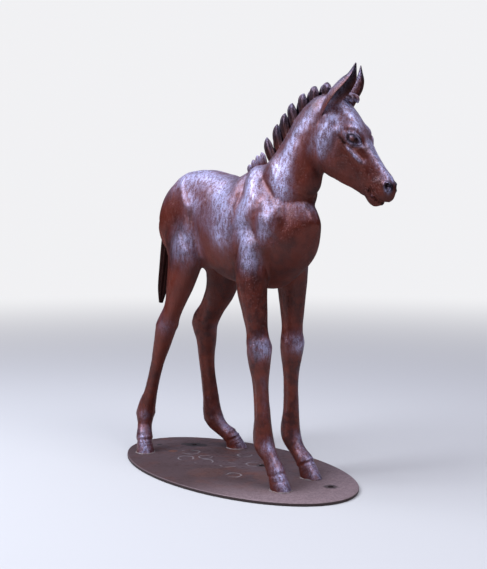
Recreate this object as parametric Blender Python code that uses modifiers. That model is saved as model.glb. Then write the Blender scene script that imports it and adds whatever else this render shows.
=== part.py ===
"""A life-size foal in cast iron, standing on a thin oval plate.

The foal looks along +X, +Y is its left side and +Z is up. The origin is the middle of the plate's underside.
The figure is modelled in centimetres on a pattern 93 cm tall at the withers, measured from the plate's top face
and from the middle plane of its trunk, and is then scaled to its real height.
"""

import math

import bmesh
import bpy
import numpy as np
from mathutils import Matrix, Vector

# Driving sizes, in metres
WITHERS_HEIGHT = 0.930
PLATE_THICKNESS = 0.010
PLATE_EDGE_ROUNDING = 0.003
PLATE_BEYOND_TOE = 0.142
PLATE_BEYOND_HEEL = 0.113
PLATE_BESIDE_LEFT_HOOF = 0.078
PLATE_BESIDE_RIGHT_HOOF = 0.112
FIXING_HOLE_DIAMETER = 0.018
HOLE_FROM_FRONT_END = 0.113
MIDDLE_HOLE_FROM_FRONT_END = 0.422
HOLE_FROM_REAR_END = 0.161
HOLE_BESIDE_CENTRE_LINE = 0.066
HOOF_SEAT_GAP = 0.0003
FIXING_HOLE_SIDES = 20
PLATE_RIM_SIDES = 64

# Sizes of the pattern, in its own centimetres
PATTERN_WITHERS = 93.0
HOOF_LENGTH = 6.4
HOOF_WIDTH = 5.6
HOOF_BELOW_TREAD = 2.0
MANE_LOCKS = 13
LONGEST_LOCK = 8.4
SHORTEST_LOCK = 4.0
LOCK_HALF_WIDTH = 1.7
TUFT_HALF_WIDTH = 1.15
FORELOCK_HALF_WIDTH = 1.0
EAR_LENGTH = 13.2
LEFT_EAR_LAID_BACK = 2.2
EAR_SCOOP = 0.62
EAR_TURNED_IN = math.radians(3.0)
UPPER_LID_RISE = 1.7
LOWER_LID_RISE = -1.3
LID_STEPS = 6
SKIN_VOXEL = 0.60
SKIN_SMOOTHING = 6
SKIN_FACES_KEPT = 0.046

CM = WITHERS_HEIGHT / PATTERN_WITHERS

# How far the blocks that cut through a piece reach beyond it, as a multiple of its own size
CUT_BEYOND = 3

RUST_BROWN = (0.115, 0.036, 0.022, 1.0)
PLATE_BROWN = (0.150, 0.085, 0.075, 1.0)

# Each leg's joints from the top down, x, y and z, and then the middle of its tread on the ground
RIGHT_FORE = [
    (21.0, -6.5, 72.0), (16.6, -7.6, 66.0), (16.6, -8.6, 58.0), (18.4, -8.8, 49.0), (19.9, -8.7, 39.5),
    (20.6, -8.6, 31.0), (21.4, -8.4, 20.0), (22.2, -8.3, 11.6), (24.8, -8.2, 8.0), (26.9, -8.1, 4.9),
]
RIGHT_FORE_TREAD = Vector((28.9, -8.0, 0.0))
LEFT_FORE = [
    (19.0, 6.5, 72.0), (15.8, 7.6, 66.0), (14.4, 8.6, 58.0), (14.4, 8.8, 49.0), (14.6, 8.5, 39.0),
    (14.8, 8.2, 31.0), (15.2, 7.9, 19.0), (15.5, 7.7, 11.0), (18.4, 7.7, 7.2), (21.6, 7.7, 4.4),
]
LEFT_FORE_TREAD = Vector((24.2, 7.7, 0.0))
RIGHT_HIND = [
    (-19.0, -4.5, 76.0), (-18.9, -6.6, 64.0), (-20.6, -7.8, 55.0), (-23.2, -8.6, 47.5), (-26.1, -9.1, 42.0),
    (-30.4, -9.5, 31.0), (-34.6, -10.0, 19.0), (-37.0, -10.4, 12.0), (-36.2, -11.3, 8.0), (-34.6, -12.5, 4.6),
]
RIGHT_HIND_TREAD = Vector((-33.2, -13.0, 0.0))
LEFT_HIND = [
    (-20.0, 4.5, 76.0), (-16.6, 6.6, 64.0), (-19.4, 7.8, 54.0), (-25.1, 8.4, 46.0), (-28.8, 9.0, 41.0),
    (-30.2, 9.8, 30.0), (-29.0, 10.6, 17.0), (-27.6, 11.2, 8.8), (-23.9, 12.2, 5.4), (-21.3, 13.2, 3.8),
]
LEFT_HIND_TREAD = Vector((-19.6, 14.2, 0.0))
FORE_TOE_OUT = 4.0
HIND_TOE_OUT = 34.0


class HeadFrame:
    """Places points given along the face, out of the forehead and to the left of the head."""

    POLL = Vector((35.4, 3.6, 110.0))
    TURNED_LEFT = math.radians(15.0)
    FACE_SLOPE = math.radians(54.0)

    def __init__(self):
        level = Vector((math.cos(self.TURNED_LEFT), math.sin(self.TURNED_LEFT), 0.0))
        rise = Vector((0.0, 0.0, 1.0))
        self.along = level * math.cos(self.FACE_SLOPE) - rise * math.sin(self.FACE_SLOPE)
        self.out = level * math.sin(self.FACE_SLOPE) + rise * math.cos(self.FACE_SLOPE)
        self.left = Vector((-math.sin(self.TURNED_LEFT), math.cos(self.TURNED_LEFT), 0.0))

    def place(self, along, out, left=0.0):
        """Returns a point of the head in the pattern's centimetres."""
        return self.POLL + self.along * along + self.out * out + self.left * left


HEAD = HeadFrame()


def clear_scene():
    """Removes every object, so that only the sculpture is left."""
    for item in list(bpy.data.objects):
        bpy.data.objects.remove(item)


def new_collection(name):
    """Returns a new collection linked to the scene."""
    collection = bpy.data.collections.new(name)
    bpy.context.scene.collection.children.link(collection)
    return collection


def finish(name, colour, roughness, metallic):
    """Returns a plain iron material."""
    made = bpy.data.materials.new(name)
    made.use_nodes = True
    shader = made.node_tree.nodes["Principled BSDF"]
    shader.inputs["Base Color"].default_value = colour
    shader.inputs["Roughness"].default_value = roughness
    shader.inputs["Metallic"].default_value = metallic
    return made


def blend(first, second, share):
    """Returns the point at a share of the way from first to second."""
    return tuple(a + (b - a) * share for a, b in zip(first, second))


def spread(rows, count):
    """Returns count rows on one smooth curve through the given rows, evenly placed along its centre line."""
    rows = np.array(rows, float)
    step = np.linalg.norm(np.diff(rows[:, :3], axis=0), axis=1)
    at = np.concatenate([[0.0], np.cumsum(step)])
    slopes = np.gradient(rows, at, axis=0)
    places = np.linspace(0.0, at[-1], count)
    index = np.clip(np.searchsorted(at, places, side="right") - 1, 0, len(at) - 2)
    length = (at[index + 1] - at[index])[:, None]
    t = (places - at[index])[:, None] / length
    start, end = rows[index], rows[index + 1]
    return (
        (2 * t**3 - 3 * t**2 + 1) * start
        + (t**3 - 2 * t**2 + t) * length * slopes[index]
        + (3 * t**2 - 2 * t**3) * end
        + (t**3 - t**2) * length * slopes[index + 1]
    )


def rounded(value, power):
    """Returns a sine or cosine reshaped for a section between an ellipse, power 2, and a box."""
    return math.copysign(abs(value) ** (2.0 / power), value)


def loft(mesh, rows, ahead, rings, sides, power=2.0, scoop=0.0):
    """Adds a closed tube to a bmesh.

    Each row is x, y, z, half width, depth ahead, depth behind and a turn in degrees. The section's ahead side
    faces the direction ahead, turned about the upright by the row's turn. scoop hollows that side by a share of
    the section's depth.
    """
    rows = spread(rows, rings)
    centres = [Vector(row[:3]) for row in rows]
    loops = []
    for number, row in enumerate(rows):
        before = centres[max(number - 1, 0)]
        after = centres[min(number + 1, len(rows) - 1)]
        along = (after - before).normalized()
        facing = Matrix.Rotation(math.radians(row[6]), 3, "Z") @ Vector(ahead)
        front = (facing - along * facing.dot(along)).normalized()
        side = along.cross(front)
        loop = []
        for corner in range(sides):
            angle = math.tau * corner / sides
            reach = rounded(math.sin(angle), power)
            depth = reach * (row[4] if reach > 0 else row[5])
            if reach > 0:
                depth -= scoop * (row[4] + row[5]) * reach**2
            width = row[3] * rounded(math.cos(angle), power)
            loop.append(mesh.verts.new(centres[number] + side * width + front * depth))
        loops.append(loop)
    for first, second in zip(loops, loops[1:]):
        for corner in range(sides):
            following = (corner + 1) % sides
            mesh.faces.new((first[corner], first[following], second[following], second[corner]))
    mesh.faces.new(list(reversed(loops[0])))
    mesh.faces.new(loops[-1])


def lump(mesh, centre, radii, turn=None):
    """Adds an ellipsoid of muscle or bone."""
    turn = turn or Matrix.Identity(4)
    place = Matrix.Translation(centre) @ turn @ Matrix.Diagonal((*radii, 1.0))
    bmesh.ops.create_uvsphere(mesh, u_segments=14, v_segments=9, radius=1.0, matrix=place)


def head_lumps(mesh, place, radii):
    """Adds the same ellipsoid on both sides of the head; radii run along, out of and across the face."""
    turn = Matrix((HEAD.along, HEAD.out, HEAD.left)).transposed().to_4x4()
    along, out, left = place
    for side in (1, -1) if left else (1,):
        lump(mesh, HEAD.place(along, out, left * side), radii, turn)


def trunk(mesh):
    """Adds croup, barrel and chest."""
    rows = [
        (-35.0, 0, 79.0, 3.0, 4.0, 5.0, 0),
        (-32.4, 0, 78.0, 7.2, 9.8, 9.5, 0),
        (-27.5, 0, 76.5, 9.8, 13.9, 13.5, 0),
        (-21.0, 0, 75.8, 9.9, 15.7, 15.2, 0),
        (-14.0, 0, 75.3, 10.0, 16.1, 15.0, 0),
        (-7.0, 0, 74.8, 9.9, 15.1, 14.8, 0),
        (0.0, 0, 73.4, 10.4, 14.9, 16.2, 0),
        (7.0, 0, 73.0, 10.5, 17.2, 17.0, 0),
        (13.0, 0, 73.0, 9.8, 19.0, 17.2, 0),
        (19.0, 0, 72.5, 9.2, 17.0, 16.5, 0),
        (25.0, 0, 72.8, 7.9, 14.0, 11.4, 0),
        (29.5, 0, 74.6, 5.6, 10.2, 6.6, 0),
        (32.4, 0, 75.8, 3.4, 6.4, 3.4, 0),
        (34.0, 0, 76.4, 1.2, 2.6, 2.0, 0),
    ]
    loft(mesh, rows, (0, 0, 1), rings=44, sides=36, power=2.15)
    for side in (1, -1):
        lump(mesh, (21.5, 5.2 * side, 74.5), (6.5, 4.6, 8.5))
        lump(mesh, (-20.5, 5.6 * side, 70.0), (10.0, 4.6, 12.0))
        lump(mesh, (-28.6, 4.6 * side, 74.0), (4.4, 3.6, 9.0))


def neck(mesh):
    """Adds the neck, bent a little to the left."""
    rows = [
        (15.0, 0, 77.0, 7.6, 13.0, 11.0, 0),
        (20.0, 0.1, 82.5, 6.9, 11.0, 10.5, 0),
        (24.6, 0.6, 88.6, 5.8, 9.3, 9.6, 0),
        (28.4, 1.5, 95.4, 4.9, 7.9, 7.2, 0),
        (31.8, 2.5, 101.8, 4.5, 7.0, 6.2, 0),
        (35.4, 3.5, 106.2, 4.1, 5.0, 5.0, 0),
        (38.0, 4.2, 107.5, 3.0, 3.0, 3.5, 0),
    ]
    loft(mesh, rows, (-0.8, -0.1, 0.6), rings=28, sides=28)


def head(mesh):
    """Adds skull, jaw and muzzle. Each row is along, out, half width, depth out and depth in."""
    rows = [
        (0.0, -4.0, 3.2, 5.6, 3.0),
        (3.5, -4.0, 4.8, 7.3, 5.6),
        (7.5, -4.2, 5.6, 8.2, 8.0),
        (12.0, -4.3, 5.4, 8.3, 9.2),
        (16.0, -4.3, 4.9, 7.8, 9.0),
        (20.0, -4.0, 4.4, 6.8, 7.1),
        (24.0, -3.2, 3.5, 5.6, 5.7),
        (28.0, -2.5, 3.0, 4.8, 4.8),
        (31.0, -2.2, 3.0, 4.6, 4.3),
        (33.2, -2.2, 2.7, 3.6, 3.4),
        (34.8, -2.3, 1.5, 1.7, 1.7),
    ]
    stations = [(*HEAD.place(along, out), wide, up, down, 0) for along, out, wide, up, down in rows]
    loft(mesh, stations, HEAD.out, rings=34, sides=28, power=2.3)
    head_lumps(mesh, (11.0, -7.2, 2.4), (6.8, 6.2, 3.0))
    head_lumps(mesh, (14.0, 1.7, 2.5), (3.8, 1.9, 1.8))
    head_lumps(mesh, (6.3, -2.2, 3.9), (2.8, 2.6, 2.0))
    head_lumps(mesh, (31.2, 0.3, 1.5), (2.0, 1.8, 1.5))
    head_lumps(mesh, (31.4, -5.3, 0.0), (2.5, 1.5, 2.2))
    head_lumps(mesh, (33.3, -2.9, 0.0), (1.5, 1.5, 2.0))


def foreleg(mesh, joints, toe_out):
    """Adds a foreleg from the shoulder to the coronet."""
    shoulder, elbow, arm, forearm, knee, below_knee, cannon, fetlock, pastern, coronet = joints
    rows = [
        (*shoulder, 3.4, 5.5, 6.0, 0),
        (*elbow, 4.0, 5.8, 5.6, 0),
        (*arm, 4.2, 5.2, 5.0, 0),
        (*forearm, 3.5, 3.9, 3.9, toe_out * 0.5),
        (*blend(forearm, knee, 0.55), 3.2, 3.3, 3.1, toe_out),
        (*knee, 3.7, 3.8, 3.5, toe_out),
        (*blend(knee, below_knee, 0.6), 3.2, 3.0, 3.1, toe_out),
        (*below_knee, 2.5, 2.5, 2.9, toe_out),
        (*cannon, 2.3, 2.4, 2.8, toe_out),
        (*fetlock, 2.9, 3.0, 3.3, toe_out),
        (*pastern, 2.3, 2.3, 2.5, toe_out),
        (*coronet, 2.7, 2.8, 2.6, toe_out),
    ]
    loft(mesh, rows, (1, 0, 0), rings=46, sides=20)


def hindleg(mesh, joints, toe_out):
    """Adds a hind leg from the hip to the coronet."""
    hip, stifle, gaskin, above_hock, hock, cannon, low_cannon, fetlock, pastern, coronet = joints
    rows = [
        (*hip, 4.4, 7.5, 9.0, 0),
        (*stifle, 4.8, 7.8, 8.2, toe_out * 0.2),
        (*gaskin, 4.1, 5.4, 5.6, toe_out * 0.4),
        (*above_hock, 3.0, 3.7, 4.6, toe_out * 0.7),
        (*hock, 3.4, 3.5, 5.4, toe_out),
        (*blend(hock, cannon, 0.5), 2.9, 3.2, 3.8, toe_out),
        (*cannon, 2.3, 2.7, 3.0, toe_out),
        (*low_cannon, 2.3, 2.6, 2.9, toe_out),
        (*fetlock, 3.0, 3.0, 3.4, toe_out),
        (*pastern, 2.4, 2.4, 2.5, toe_out),
        (*coronet, 2.8, 2.8, 2.6, toe_out),
    ]
    loft(mesh, rows, (1, 0, 0), rings=50, sides=20)


def hoof(mesh, coronet, tread, toe_out):
    """Adds a hoof from the coronet to below its tread, wider at the ground, where it is cut level later."""
    coronet = Vector(coronet)
    below = tread + (tread - coronet) * (HOOF_BELOW_TREAD / (coronet.z - tread.z))
    rows = [
        (*coronet, HOOF_WIDTH * 0.44, HOOF_LENGTH * 0.42, HOOF_LENGTH * 0.38, toe_out),
        (*tread, HOOF_WIDTH * 0.52, HOOF_LENGTH * 0.50, HOOF_LENGTH * 0.50, toe_out),
        (*below, HOOF_WIDTH * 0.55, HOOF_LENGTH * 0.53, HOOF_LENGTH * 0.53, toe_out),
    ]
    loft(mesh, rows, (1, 0, 0), rings=8, sides=20)


def legs(mesh):
    """Adds the four legs with their hooves."""
    foreleg(mesh, RIGHT_FORE, -FORE_TOE_OUT)
    hoof(mesh, RIGHT_FORE[-1], RIGHT_FORE_TREAD, -FORE_TOE_OUT)
    foreleg(mesh, LEFT_FORE, FORE_TOE_OUT)
    hoof(mesh, LEFT_FORE[-1], LEFT_FORE_TREAD, FORE_TOE_OUT)
    hindleg(mesh, RIGHT_HIND, -HIND_TOE_OUT)
    hoof(mesh, RIGHT_HIND[-1], RIGHT_HIND_TREAD, -HIND_TOE_OUT)
    hindleg(mesh, LEFT_HIND, HIND_TOE_OUT)
    hoof(mesh, LEFT_HIND[-1], LEFT_HIND_TREAD, HIND_TOE_OUT)


def mirrored(path):
    """Returns a path of the right side and its twin on the left."""
    return [path, [(x, -y, z) for x, y, z in path]]


def on_head(path):
    """Returns a path along, out and across the face and its twin on the other side, in pattern centimetres."""
    return [[tuple(HEAD.place(along, out, left * side)) for along, out, left in path] for side in (1, -1)]


def carving():
    """Returns the carved forms: each is a path, how far it fades out on either side and its height."""
    body = [
        ([(9.9, -5, 88.6), (11.4, -8.6, 84.4), (10.6, -10, 80), (9.6, -10.4, 75.8), (9.7, -10, 66)], 1.7, -0.9),
        ([(12.6, -4.5, 90), (14.9, -7.4, 86), (16.2, -9, 81.5), (16, -9.8, 77.2)], 2.6, 0.6),
        ([(18.3, -5.5, 86.6), (21.9, -7.2, 83.7), (25.3, -8, 80.4)], 1.8, -0.7),
        ([(21.0, -4.6, 91), (24.6, -6, 86.2), (27.6, -6.8, 81.5)], 2.2, 0.5),
        ([(23.4, -9.4, 74.3)], 4.4, 0.5),
        ([(12.6, -10, 77.0)], 3.4, 0.6),
        ([(11.0, -10, 73.4), (15.8, -10, 73.8), (19, -9.8, 71.6)], 1.5, -0.7),
        ([(15.2, -9.6, 68.6), (15.2, -9.8, 63)], 3.0, 0.4),
        ([(29.0, -6, 86), (31.4, -5, 83.6), (33, -3, 81.6), (33.6, 0, 80.6)], 1.6, -0.5),
        ([(-21.0, -5.6, 88.4), (-13.5, -5.8, 88.6), (-5.7, -5.4, 88), (2, -5, 87)], 1.8, 0.4),
        ([(-20.0, -7.4, 86), (-17.2, -9, 82.2), (-13.5, -10, 79)], 1.8, 0.6),
        ([(-12.5, -9, 83.6)], 3.4, -0.5),
        ([(-12.2, -10, 77.2), (-10.8, -9.8, 72.6), (-10.2, -9.4, 68), (-8.4, -8.8, 63.8)], 2.0, -1.3),
        ([(-16.5, -10.6, 69.5)], 5.0, 0.7),
        ([(4.5, -10.6, 74.0)], 7.0, 0.5),
    ]
    face = [
        ([(5.4, -4.5, 5.4), (8.4, -8.3, 5.2), (10.6, -10.4, 4.8), (13, -11.6, 4.4), (16.4, -12.6, 3.6)], 1.5, -0.9),
        ([(10.5, -6.8, 5.6)], 4.0, 0.5),
        ([(14.6, -1.7, 5.8), (18.5, -1.4, 5.0), (23.5, -1.2, 3.9)], 0.9, 0.5),
        ([(17.0, 1.4, 5.6)], 2.2, -0.6),
        ([(13.2, 3.4, 4.4), (16.0, 4.0, 4.2), (18.6, 3.4, 3.8)], 1.2, 0.35),
        ([(22.5, 0.6, 3.8), (27.5, 0.2, 3.2)], 1.3, -0.3),
        ([(28.6, -3.6, 3.4), (31.8, -3.9, 3.2), (34.4, -3.2, 0.8)], 0.8, -0.45),
        ([(6.0, 1.6, 5.0), (10.0, -0.4, 5.6)], 1.6, -0.4),
    ]
    return [
        (path, radius, height) for one, radius, height in body for path in mirrored(one)
    ] + [
        (path, radius, height) for one, radius, height in face for path in on_head(one)
    ]


def distance_to(points, path):
    """Returns each point's distance to a path of straight pieces, or to a lone point."""
    path = np.array(path, float)
    if len(path) == 1:
        return np.linalg.norm(points - path[0], axis=1)
    nearest = np.full(len(points), np.inf)
    for start, end in zip(path, path[1:]):
        line = end - start
        share = np.clip((points - start) @ line / (line @ line), 0.0, 1.0)
        nearest = np.minimum(nearest, np.linalg.norm(points - start - share[:, None] * line, axis=1))
    return nearest


def carve(mesh, to_pattern):
    """Raises or sinks the skin of a mesh along the carved forms."""
    points = np.zeros(len(mesh.vertices) * 3)
    mesh.vertices.foreach_get("co", points)
    points = points.reshape(-1, 3)
    normals = np.zeros(points.size)
    mesh.vertices.foreach_get("normal", normals)
    normals = normals.reshape(-1, 3)
    places = (points - to_pattern) / CM
    height = np.zeros(len(points))
    for path, radius, rise in carving():
        height += rise * np.exp(-((distance_to(places, path) / radius) ** 2))
    points += normals * height[:, None] * CM
    mesh.vertices.foreach_set("co", points.ravel())
    mesh.update()


def figure_place():
    """Returns the plate's half length and half width, and the figure's place over the plate's centre."""
    treads = (RIGHT_FORE_TREAD, LEFT_FORE_TREAD, RIGHT_HIND_TREAD, LEFT_HIND_TREAD)
    toe = max(tread.x + HOOF_LENGTH / 2 for tread in treads) * CM + PLATE_BEYOND_TOE
    heel = min(tread.x - HOOF_LENGTH / 2 for tread in treads) * CM - PLATE_BEYOND_HEEL
    left = max(tread.y + HOOF_WIDTH / 2 for tread in treads) * CM + PLATE_BESIDE_LEFT_HOOF
    right = min(tread.y - HOOF_WIDTH / 2 for tread in treads) * CM - PLATE_BESIDE_RIGHT_HOOF
    standing = PLATE_THICKNESS + HOOF_SEAT_GAP
    return (toe - heel) / 2, (left - right) / 2, Vector((-(toe + heel) / 2, -(left + right) / 2, standing))


def new_object(name, mesh, collection):
    """Makes an object from a bmesh in pattern centimetres, at its real size and place over the plate."""
    place = figure_place()[2]
    bmesh.ops.recalc_face_normals(mesh, faces=mesh.faces)
    mesh.transform(Matrix.Translation(place) @ Matrix.Diagonal((CM, CM, CM, 1.0)))
    data = bpy.data.meshes.new(name)
    mesh.to_mesh(data)
    mesh.free()
    made = bpy.data.objects.new(name, data)
    collection.objects.link(made)
    return made


def hide_helper(helper):
    """Marks a shape that only cuts or joins another."""
    helper.hide_render = True
    helper.display_type = "WIRE"


def bring_in(target, helper, operation):
    """Joins a helper's shape to the target, or cuts it away."""
    hide_helper(helper)
    boolean = target.modifiers.new(f"{operation} {helper.name}".lower(), "BOOLEAN")
    boolean.operation = operation
    boolean.solver = "EXACT"
    boolean.object = helper


def skin(collection):
    """Makes the foal's skin: the rough solids melted into one, smoothed and carved."""
    mesh = bmesh.new()
    trunk(mesh)
    neck(mesh)
    head(mesh)
    legs(mesh)
    rough = new_object("rough foal", mesh, collection)
    remesh = rough.modifiers.new("one skin", "REMESH")
    remesh.mode = "VOXEL"
    remesh.voxel_size = SKIN_VOXEL * CM
    smooth = rough.modifiers.new("soft joins", "SMOOTH")
    smooth.factor = 0.5
    smooth.iterations = SKIN_SMOOTHING
    bpy.context.view_layer.update()
    melted = bpy.data.meshes.new_from_object(rough.evaluated_get(bpy.context.evaluated_depsgraph_get()))
    bpy.data.objects.remove(rough)
    carve(melted, np.array(figure_place()[2]))
    return melted


def ears(collection):
    """Makes both ears, hollow on the side that faces forward; the left one is laid back further.

    Each row is along, out and across the head, then half width, depth ahead and depth behind. The hollow's rim is
    moved ahead, so that the row's point stays in the middle of the ear.
    """
    rows = [
        (5.2, -2.6, 4.3, 1.5, 1.2, 1.9),
        (4.4, 0.0, 4.7, 1.9, 0.9, 3.0),
        (3.6, 3.4, 4.8, 2.1, 0.7, 3.7),
        (3.1, 6.8, 4.6, 1.9, 0.6, 3.8),
        (2.3, 9.6, 4.3, 1.4, 0.5, 2.9),
        (1.2, 11.6, 4.1, 0.7, 0.3, 1.4),
        (0.2, EAR_LENGTH, 4.0, 0.2, 0.2, 0.2),
    ]
    made = []
    for name, side, laid_back in (("left ear", 1, LEFT_EAR_LAID_BACK), ("right ear", -1, 0.0)):
        opening = HEAD.TURNED_LEFT - EAR_TURNED_IN * side
        ahead = Vector((math.cos(opening), math.sin(opening), -0.1))
        stations = []
        for along, out, across, wide, front, behind in rows:
            lean = laid_back * max(out, 0.0) / EAR_LENGTH
            rim = HEAD.place(along - lean, out - lean, across * side) + ahead * (behind - front) / 2
            stations.append((*rim, wide, front, behind, 0))
        mesh = bmesh.new()
        loft(mesh, stations, ahead, rings=12, sides=12, scoop=EAR_SCOOP)
        made.append(new_object(name, mesh, collection))
    return made


def ball_on_head(name, place, radii, collection):
    """Makes an ellipsoid on the head, its radii along, out of and across the face."""
    mesh = bmesh.new()
    turn = Matrix((HEAD.along, HEAD.out, HEAD.left)).transposed().to_4x4()
    lump(mesh, HEAD.place(*place), radii, turn)
    return new_object(name, mesh, collection)


def eyes(collection):
    """Makes both eyeballs and the lids around them, between the back and the front corner of each eye."""
    made = []
    for side in (1, -1):
        made.append(ball_on_head("eyeball", (15.9, 0.6, 2.8 * side), (1.7, 1.5, 1.75), collection))
        for rise in (UPPER_LID_RISE, LOWER_LID_RISE):
            rows = []
            for step in range(LID_STEPS + 1):
                share = step / LID_STEPS
                bow = math.sin(math.pi * share)
                along, out, across = blend((13.6, -0.3, 4.0), (18.5, 1.7, 3.0), share)
                place = HEAD.place(along - 0.35 * rise * bow, out + 0.9 * rise * bow, (across + 0.42 * bow) * side)
                thick = 0.2 + 0.28 * bow
                rows.append((*place, thick, thick, thick, 0))
            mesh = bmesh.new()
            loft(mesh, rows, HEAD.left, rings=8, sides=5)
            made.append(new_object("upper lid" if rise > 0 else "lower lid", mesh, collection))
    return made


def mouth_cuts(collection):
    """Makes the shapes that cut the nostrils and the line of the mouth."""
    made = []
    for side in (1, -1):
        made.append(ball_on_head("nostril", (32.3, 1.2, 2.8 * side), (1.25, 0.8, 1.3), collection))
        rows = []
        for along, out, across in ((28.4, -3.6, 3.9), (31.0, -4.1, 3.5), (33.2, -3.7, 2.6), (35.4, -3.2, 1.4)):
            rows.append((*HEAD.place(along, out, across * side), 0.9, 0.28, 0.28, 0))
        mesh = bmesh.new()
        loft(mesh, rows, HEAD.out, rings=7, sides=8)
        made.append(new_object("mouth line", mesh, collection))
    return made


def crest(share):
    """Returns a point on the neck's crest, from above the withers at 0 to the poll at 1, and its direction."""
    rows = [
        (16.4, 0.3, 91.8), (19.0, 0.5, 96.2), (21.8, 1.0, 100.2), (24.6, 1.6, 103.6), (28.0, 2.5, 106.8),
        (31.0, 3.2, 108.6), (34.4, 3.9, 109.6),
    ]
    line = spread(rows, 60)
    at = share * (len(line) - 1)
    low = min(int(at), len(line) - 2)
    point = Vector(blend(line[low], line[low + 1], at - low))
    return point, Vector(line[low + 1] - line[low]).normalized()


def lock(root, tip, bow, wide):
    """Returns a bmesh of one flame-shaped lock: root, tip and how far its middle bows, then its half width."""
    rows = []
    for share, fullness in ((0.0, 0.9), (0.3, 1.0), (0.52, 1.0), (0.72, 0.84), (0.88, 0.52), (1.0, 0.1)):
        centre = root.lerp(tip, share) + bow * math.sin(math.pi * share)
        rows.append((*centre, wide * fullness, wide * fullness * 0.66, wide * fullness * 0.66, 0))
    mesh = bmesh.new()
    loft(mesh, rows, (0.0, 1.0, 0.0), rings=7, sides=7)
    return mesh


def mane(collection):
    """Makes the short upright mane lock by lock, the tufts on the withers and the forelock."""
    up = Vector((0.0, 0.0, 1.0))
    left = Vector((0.0, 1.0, 0.0))
    locks = []
    for number in range(MANE_LOCKS):
        share = number / (MANE_LOCKS - 1)
        root, along = crest(share)
        away = along.cross(left).normalized()
        side = left * (0.5 if number % 2 else -0.5)
        rise = (up + away * (0.15 if number % 3 else 0.5) * (1.0 - share) + along * 0.4 * share).normalized()
        tip = root + rise * (LONGEST_LOCK + (SHORTEST_LOCK - LONGEST_LOCK) * share) + side * 1.8
        locks.append(lock(root - away * LOCK_HALF_WIDTH + side, tip, away * 1.3, LOCK_HALF_WIDTH))
    for x, z, length in ((12.2, 91.6, 4.0), (9.9, 91.2, 3.6), (7.8, 90.4, 3.2), (5.8, 89.4, 2.8)):
        root = Vector((x, 0.0, z))
        locks.append(lock(root, root + Vector((-0.45, 0.0, 1.0)) * length, up * 0.2, TUFT_HALF_WIDTH))
    for across, out, length in ((-0.6, 0.0, 3.4), (0.7, 0.5, 3.8), (1.9, 0.1, 3.2)):
        root = HEAD.place(3.2, 3.0 + out, across)
        tip = HEAD.place(3.2 + length, 4.9 + out, across * 1.3)
        locks.append(lock(root, tip, HEAD.out * 1.2, FORELOCK_HALF_WIDTH))
    return [new_object(f"lock {number + 1}", mesh, collection) for number, mesh in enumerate(locks)]


def tail(collection):
    """Makes the short tail that hangs behind the buttocks."""
    rows = [
        (-31.0, 0, 84.5, 2.2, 2.0, 2.0, 0),
        (-34.8, 0, 83.0, 2.1, 1.9, 1.8, 0),
        (-37.2, 0, 78.6, 2.0, 1.9, 1.8, 0),
        (-38.7, 0, 70.0, 2.2, 1.9, 1.9, 0),
        (-40.5, 0, 60.0, 2.1, 1.8, 1.8, 0),
        (-42.2, 0, 52.0, 1.6, 1.5, 1.5, 0),
        (-43.2, 0, 47.6, 0.7, 0.7, 0.7, 0),
    ]
    mesh = bmesh.new()
    loft(mesh, rows, (-1, 0, 0.2), rings=14, sides=10)
    return new_object("tail", mesh, collection)


def ground(collection):
    """Makes the block that levels the hooves just above the plate."""
    half_length, half_width, place = figure_place()
    depth = HOOF_BELOW_TREAD * CUT_BEYOND * CM
    bpy.ops.mesh.primitive_cube_add(size=1.0, location=(0.0, 0.0, place.z - depth / 2))
    made = bpy.context.object
    made.name = "ground"
    made.scale = (half_length * CUT_BEYOND, half_width * CUT_BEYOND, depth)
    move_to(made, collection)
    return made


def move_to(item, collection):
    """Moves an object to one collection."""
    for owner in list(item.users_collection):
        owner.objects.unlink(item)
    collection.objects.link(item)


def foal(collection, helpers, iron):
    """Makes the foal, one casting from mane to hooves."""
    melted = skin(helpers)
    made = bpy.data.objects.new("foal", melted)
    collection.objects.link(made)
    fewer = made.modifiers.new("fewer faces", "DECIMATE")
    fewer.ratio = SKIN_FACES_KEPT
    for helper in [*ears(helpers), *eyes(helpers), *mane(helpers), tail(helpers)]:
        bring_in(made, helper, "UNION")
    for helper in mouth_cuts(helpers):
        bring_in(made, helper, "DIFFERENCE")
    bring_in(made, ground(helpers), "DIFFERENCE")
    melted.materials.clear()
    melted.materials.append(iron)
    melted.shade_smooth()
    return made


def plate(collection, helpers, iron):
    """Makes the oval plate with its rounded rim and its fixing holes."""
    half_length, half_width, _ = figure_place()
    bpy.ops.mesh.primitive_cylinder_add(
        vertices=PLATE_RIM_SIDES, radius=1.0, depth=PLATE_THICKNESS, location=(0, 0, PLATE_THICKNESS / 2)
    )
    made = bpy.context.object
    made.name = "base_plate"
    made.scale = (half_length, half_width, 1.0)
    bpy.ops.object.transform_apply(location=False, rotation=False, scale=True)
    move_to(made, collection)
    bevel = made.modifiers.new("worn rim", "BEVEL")
    bevel.width = PLATE_EDGE_ROUNDING
    bevel.segments = 2
    bevel.limit_method = "ANGLE"
    holes = (
        half_length - HOLE_FROM_FRONT_END,
        half_length - MIDDLE_HOLE_FROM_FRONT_END,
        HOLE_FROM_REAR_END - half_length,
    )
    for x in holes:
        bpy.ops.mesh.primitive_cylinder_add(
            vertices=FIXING_HOLE_SIDES,
            radius=FIXING_HOLE_DIAMETER / 2,
            depth=PLATE_THICKNESS * CUT_BEYOND,
            location=(x, HOLE_BESIDE_CENTRE_LINE, PLATE_THICKNESS / 2),
        )
        drill = bpy.context.object
        drill.name = "fixing hole"
        move_to(drill, helpers)
        bring_in(made, drill, "DIFFERENCE")
    made.data.materials.append(iron)
    made.data.shade_smooth()
    made.data.set_sharp_from_angle(angle=math.radians(35.0))
    return made


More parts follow.
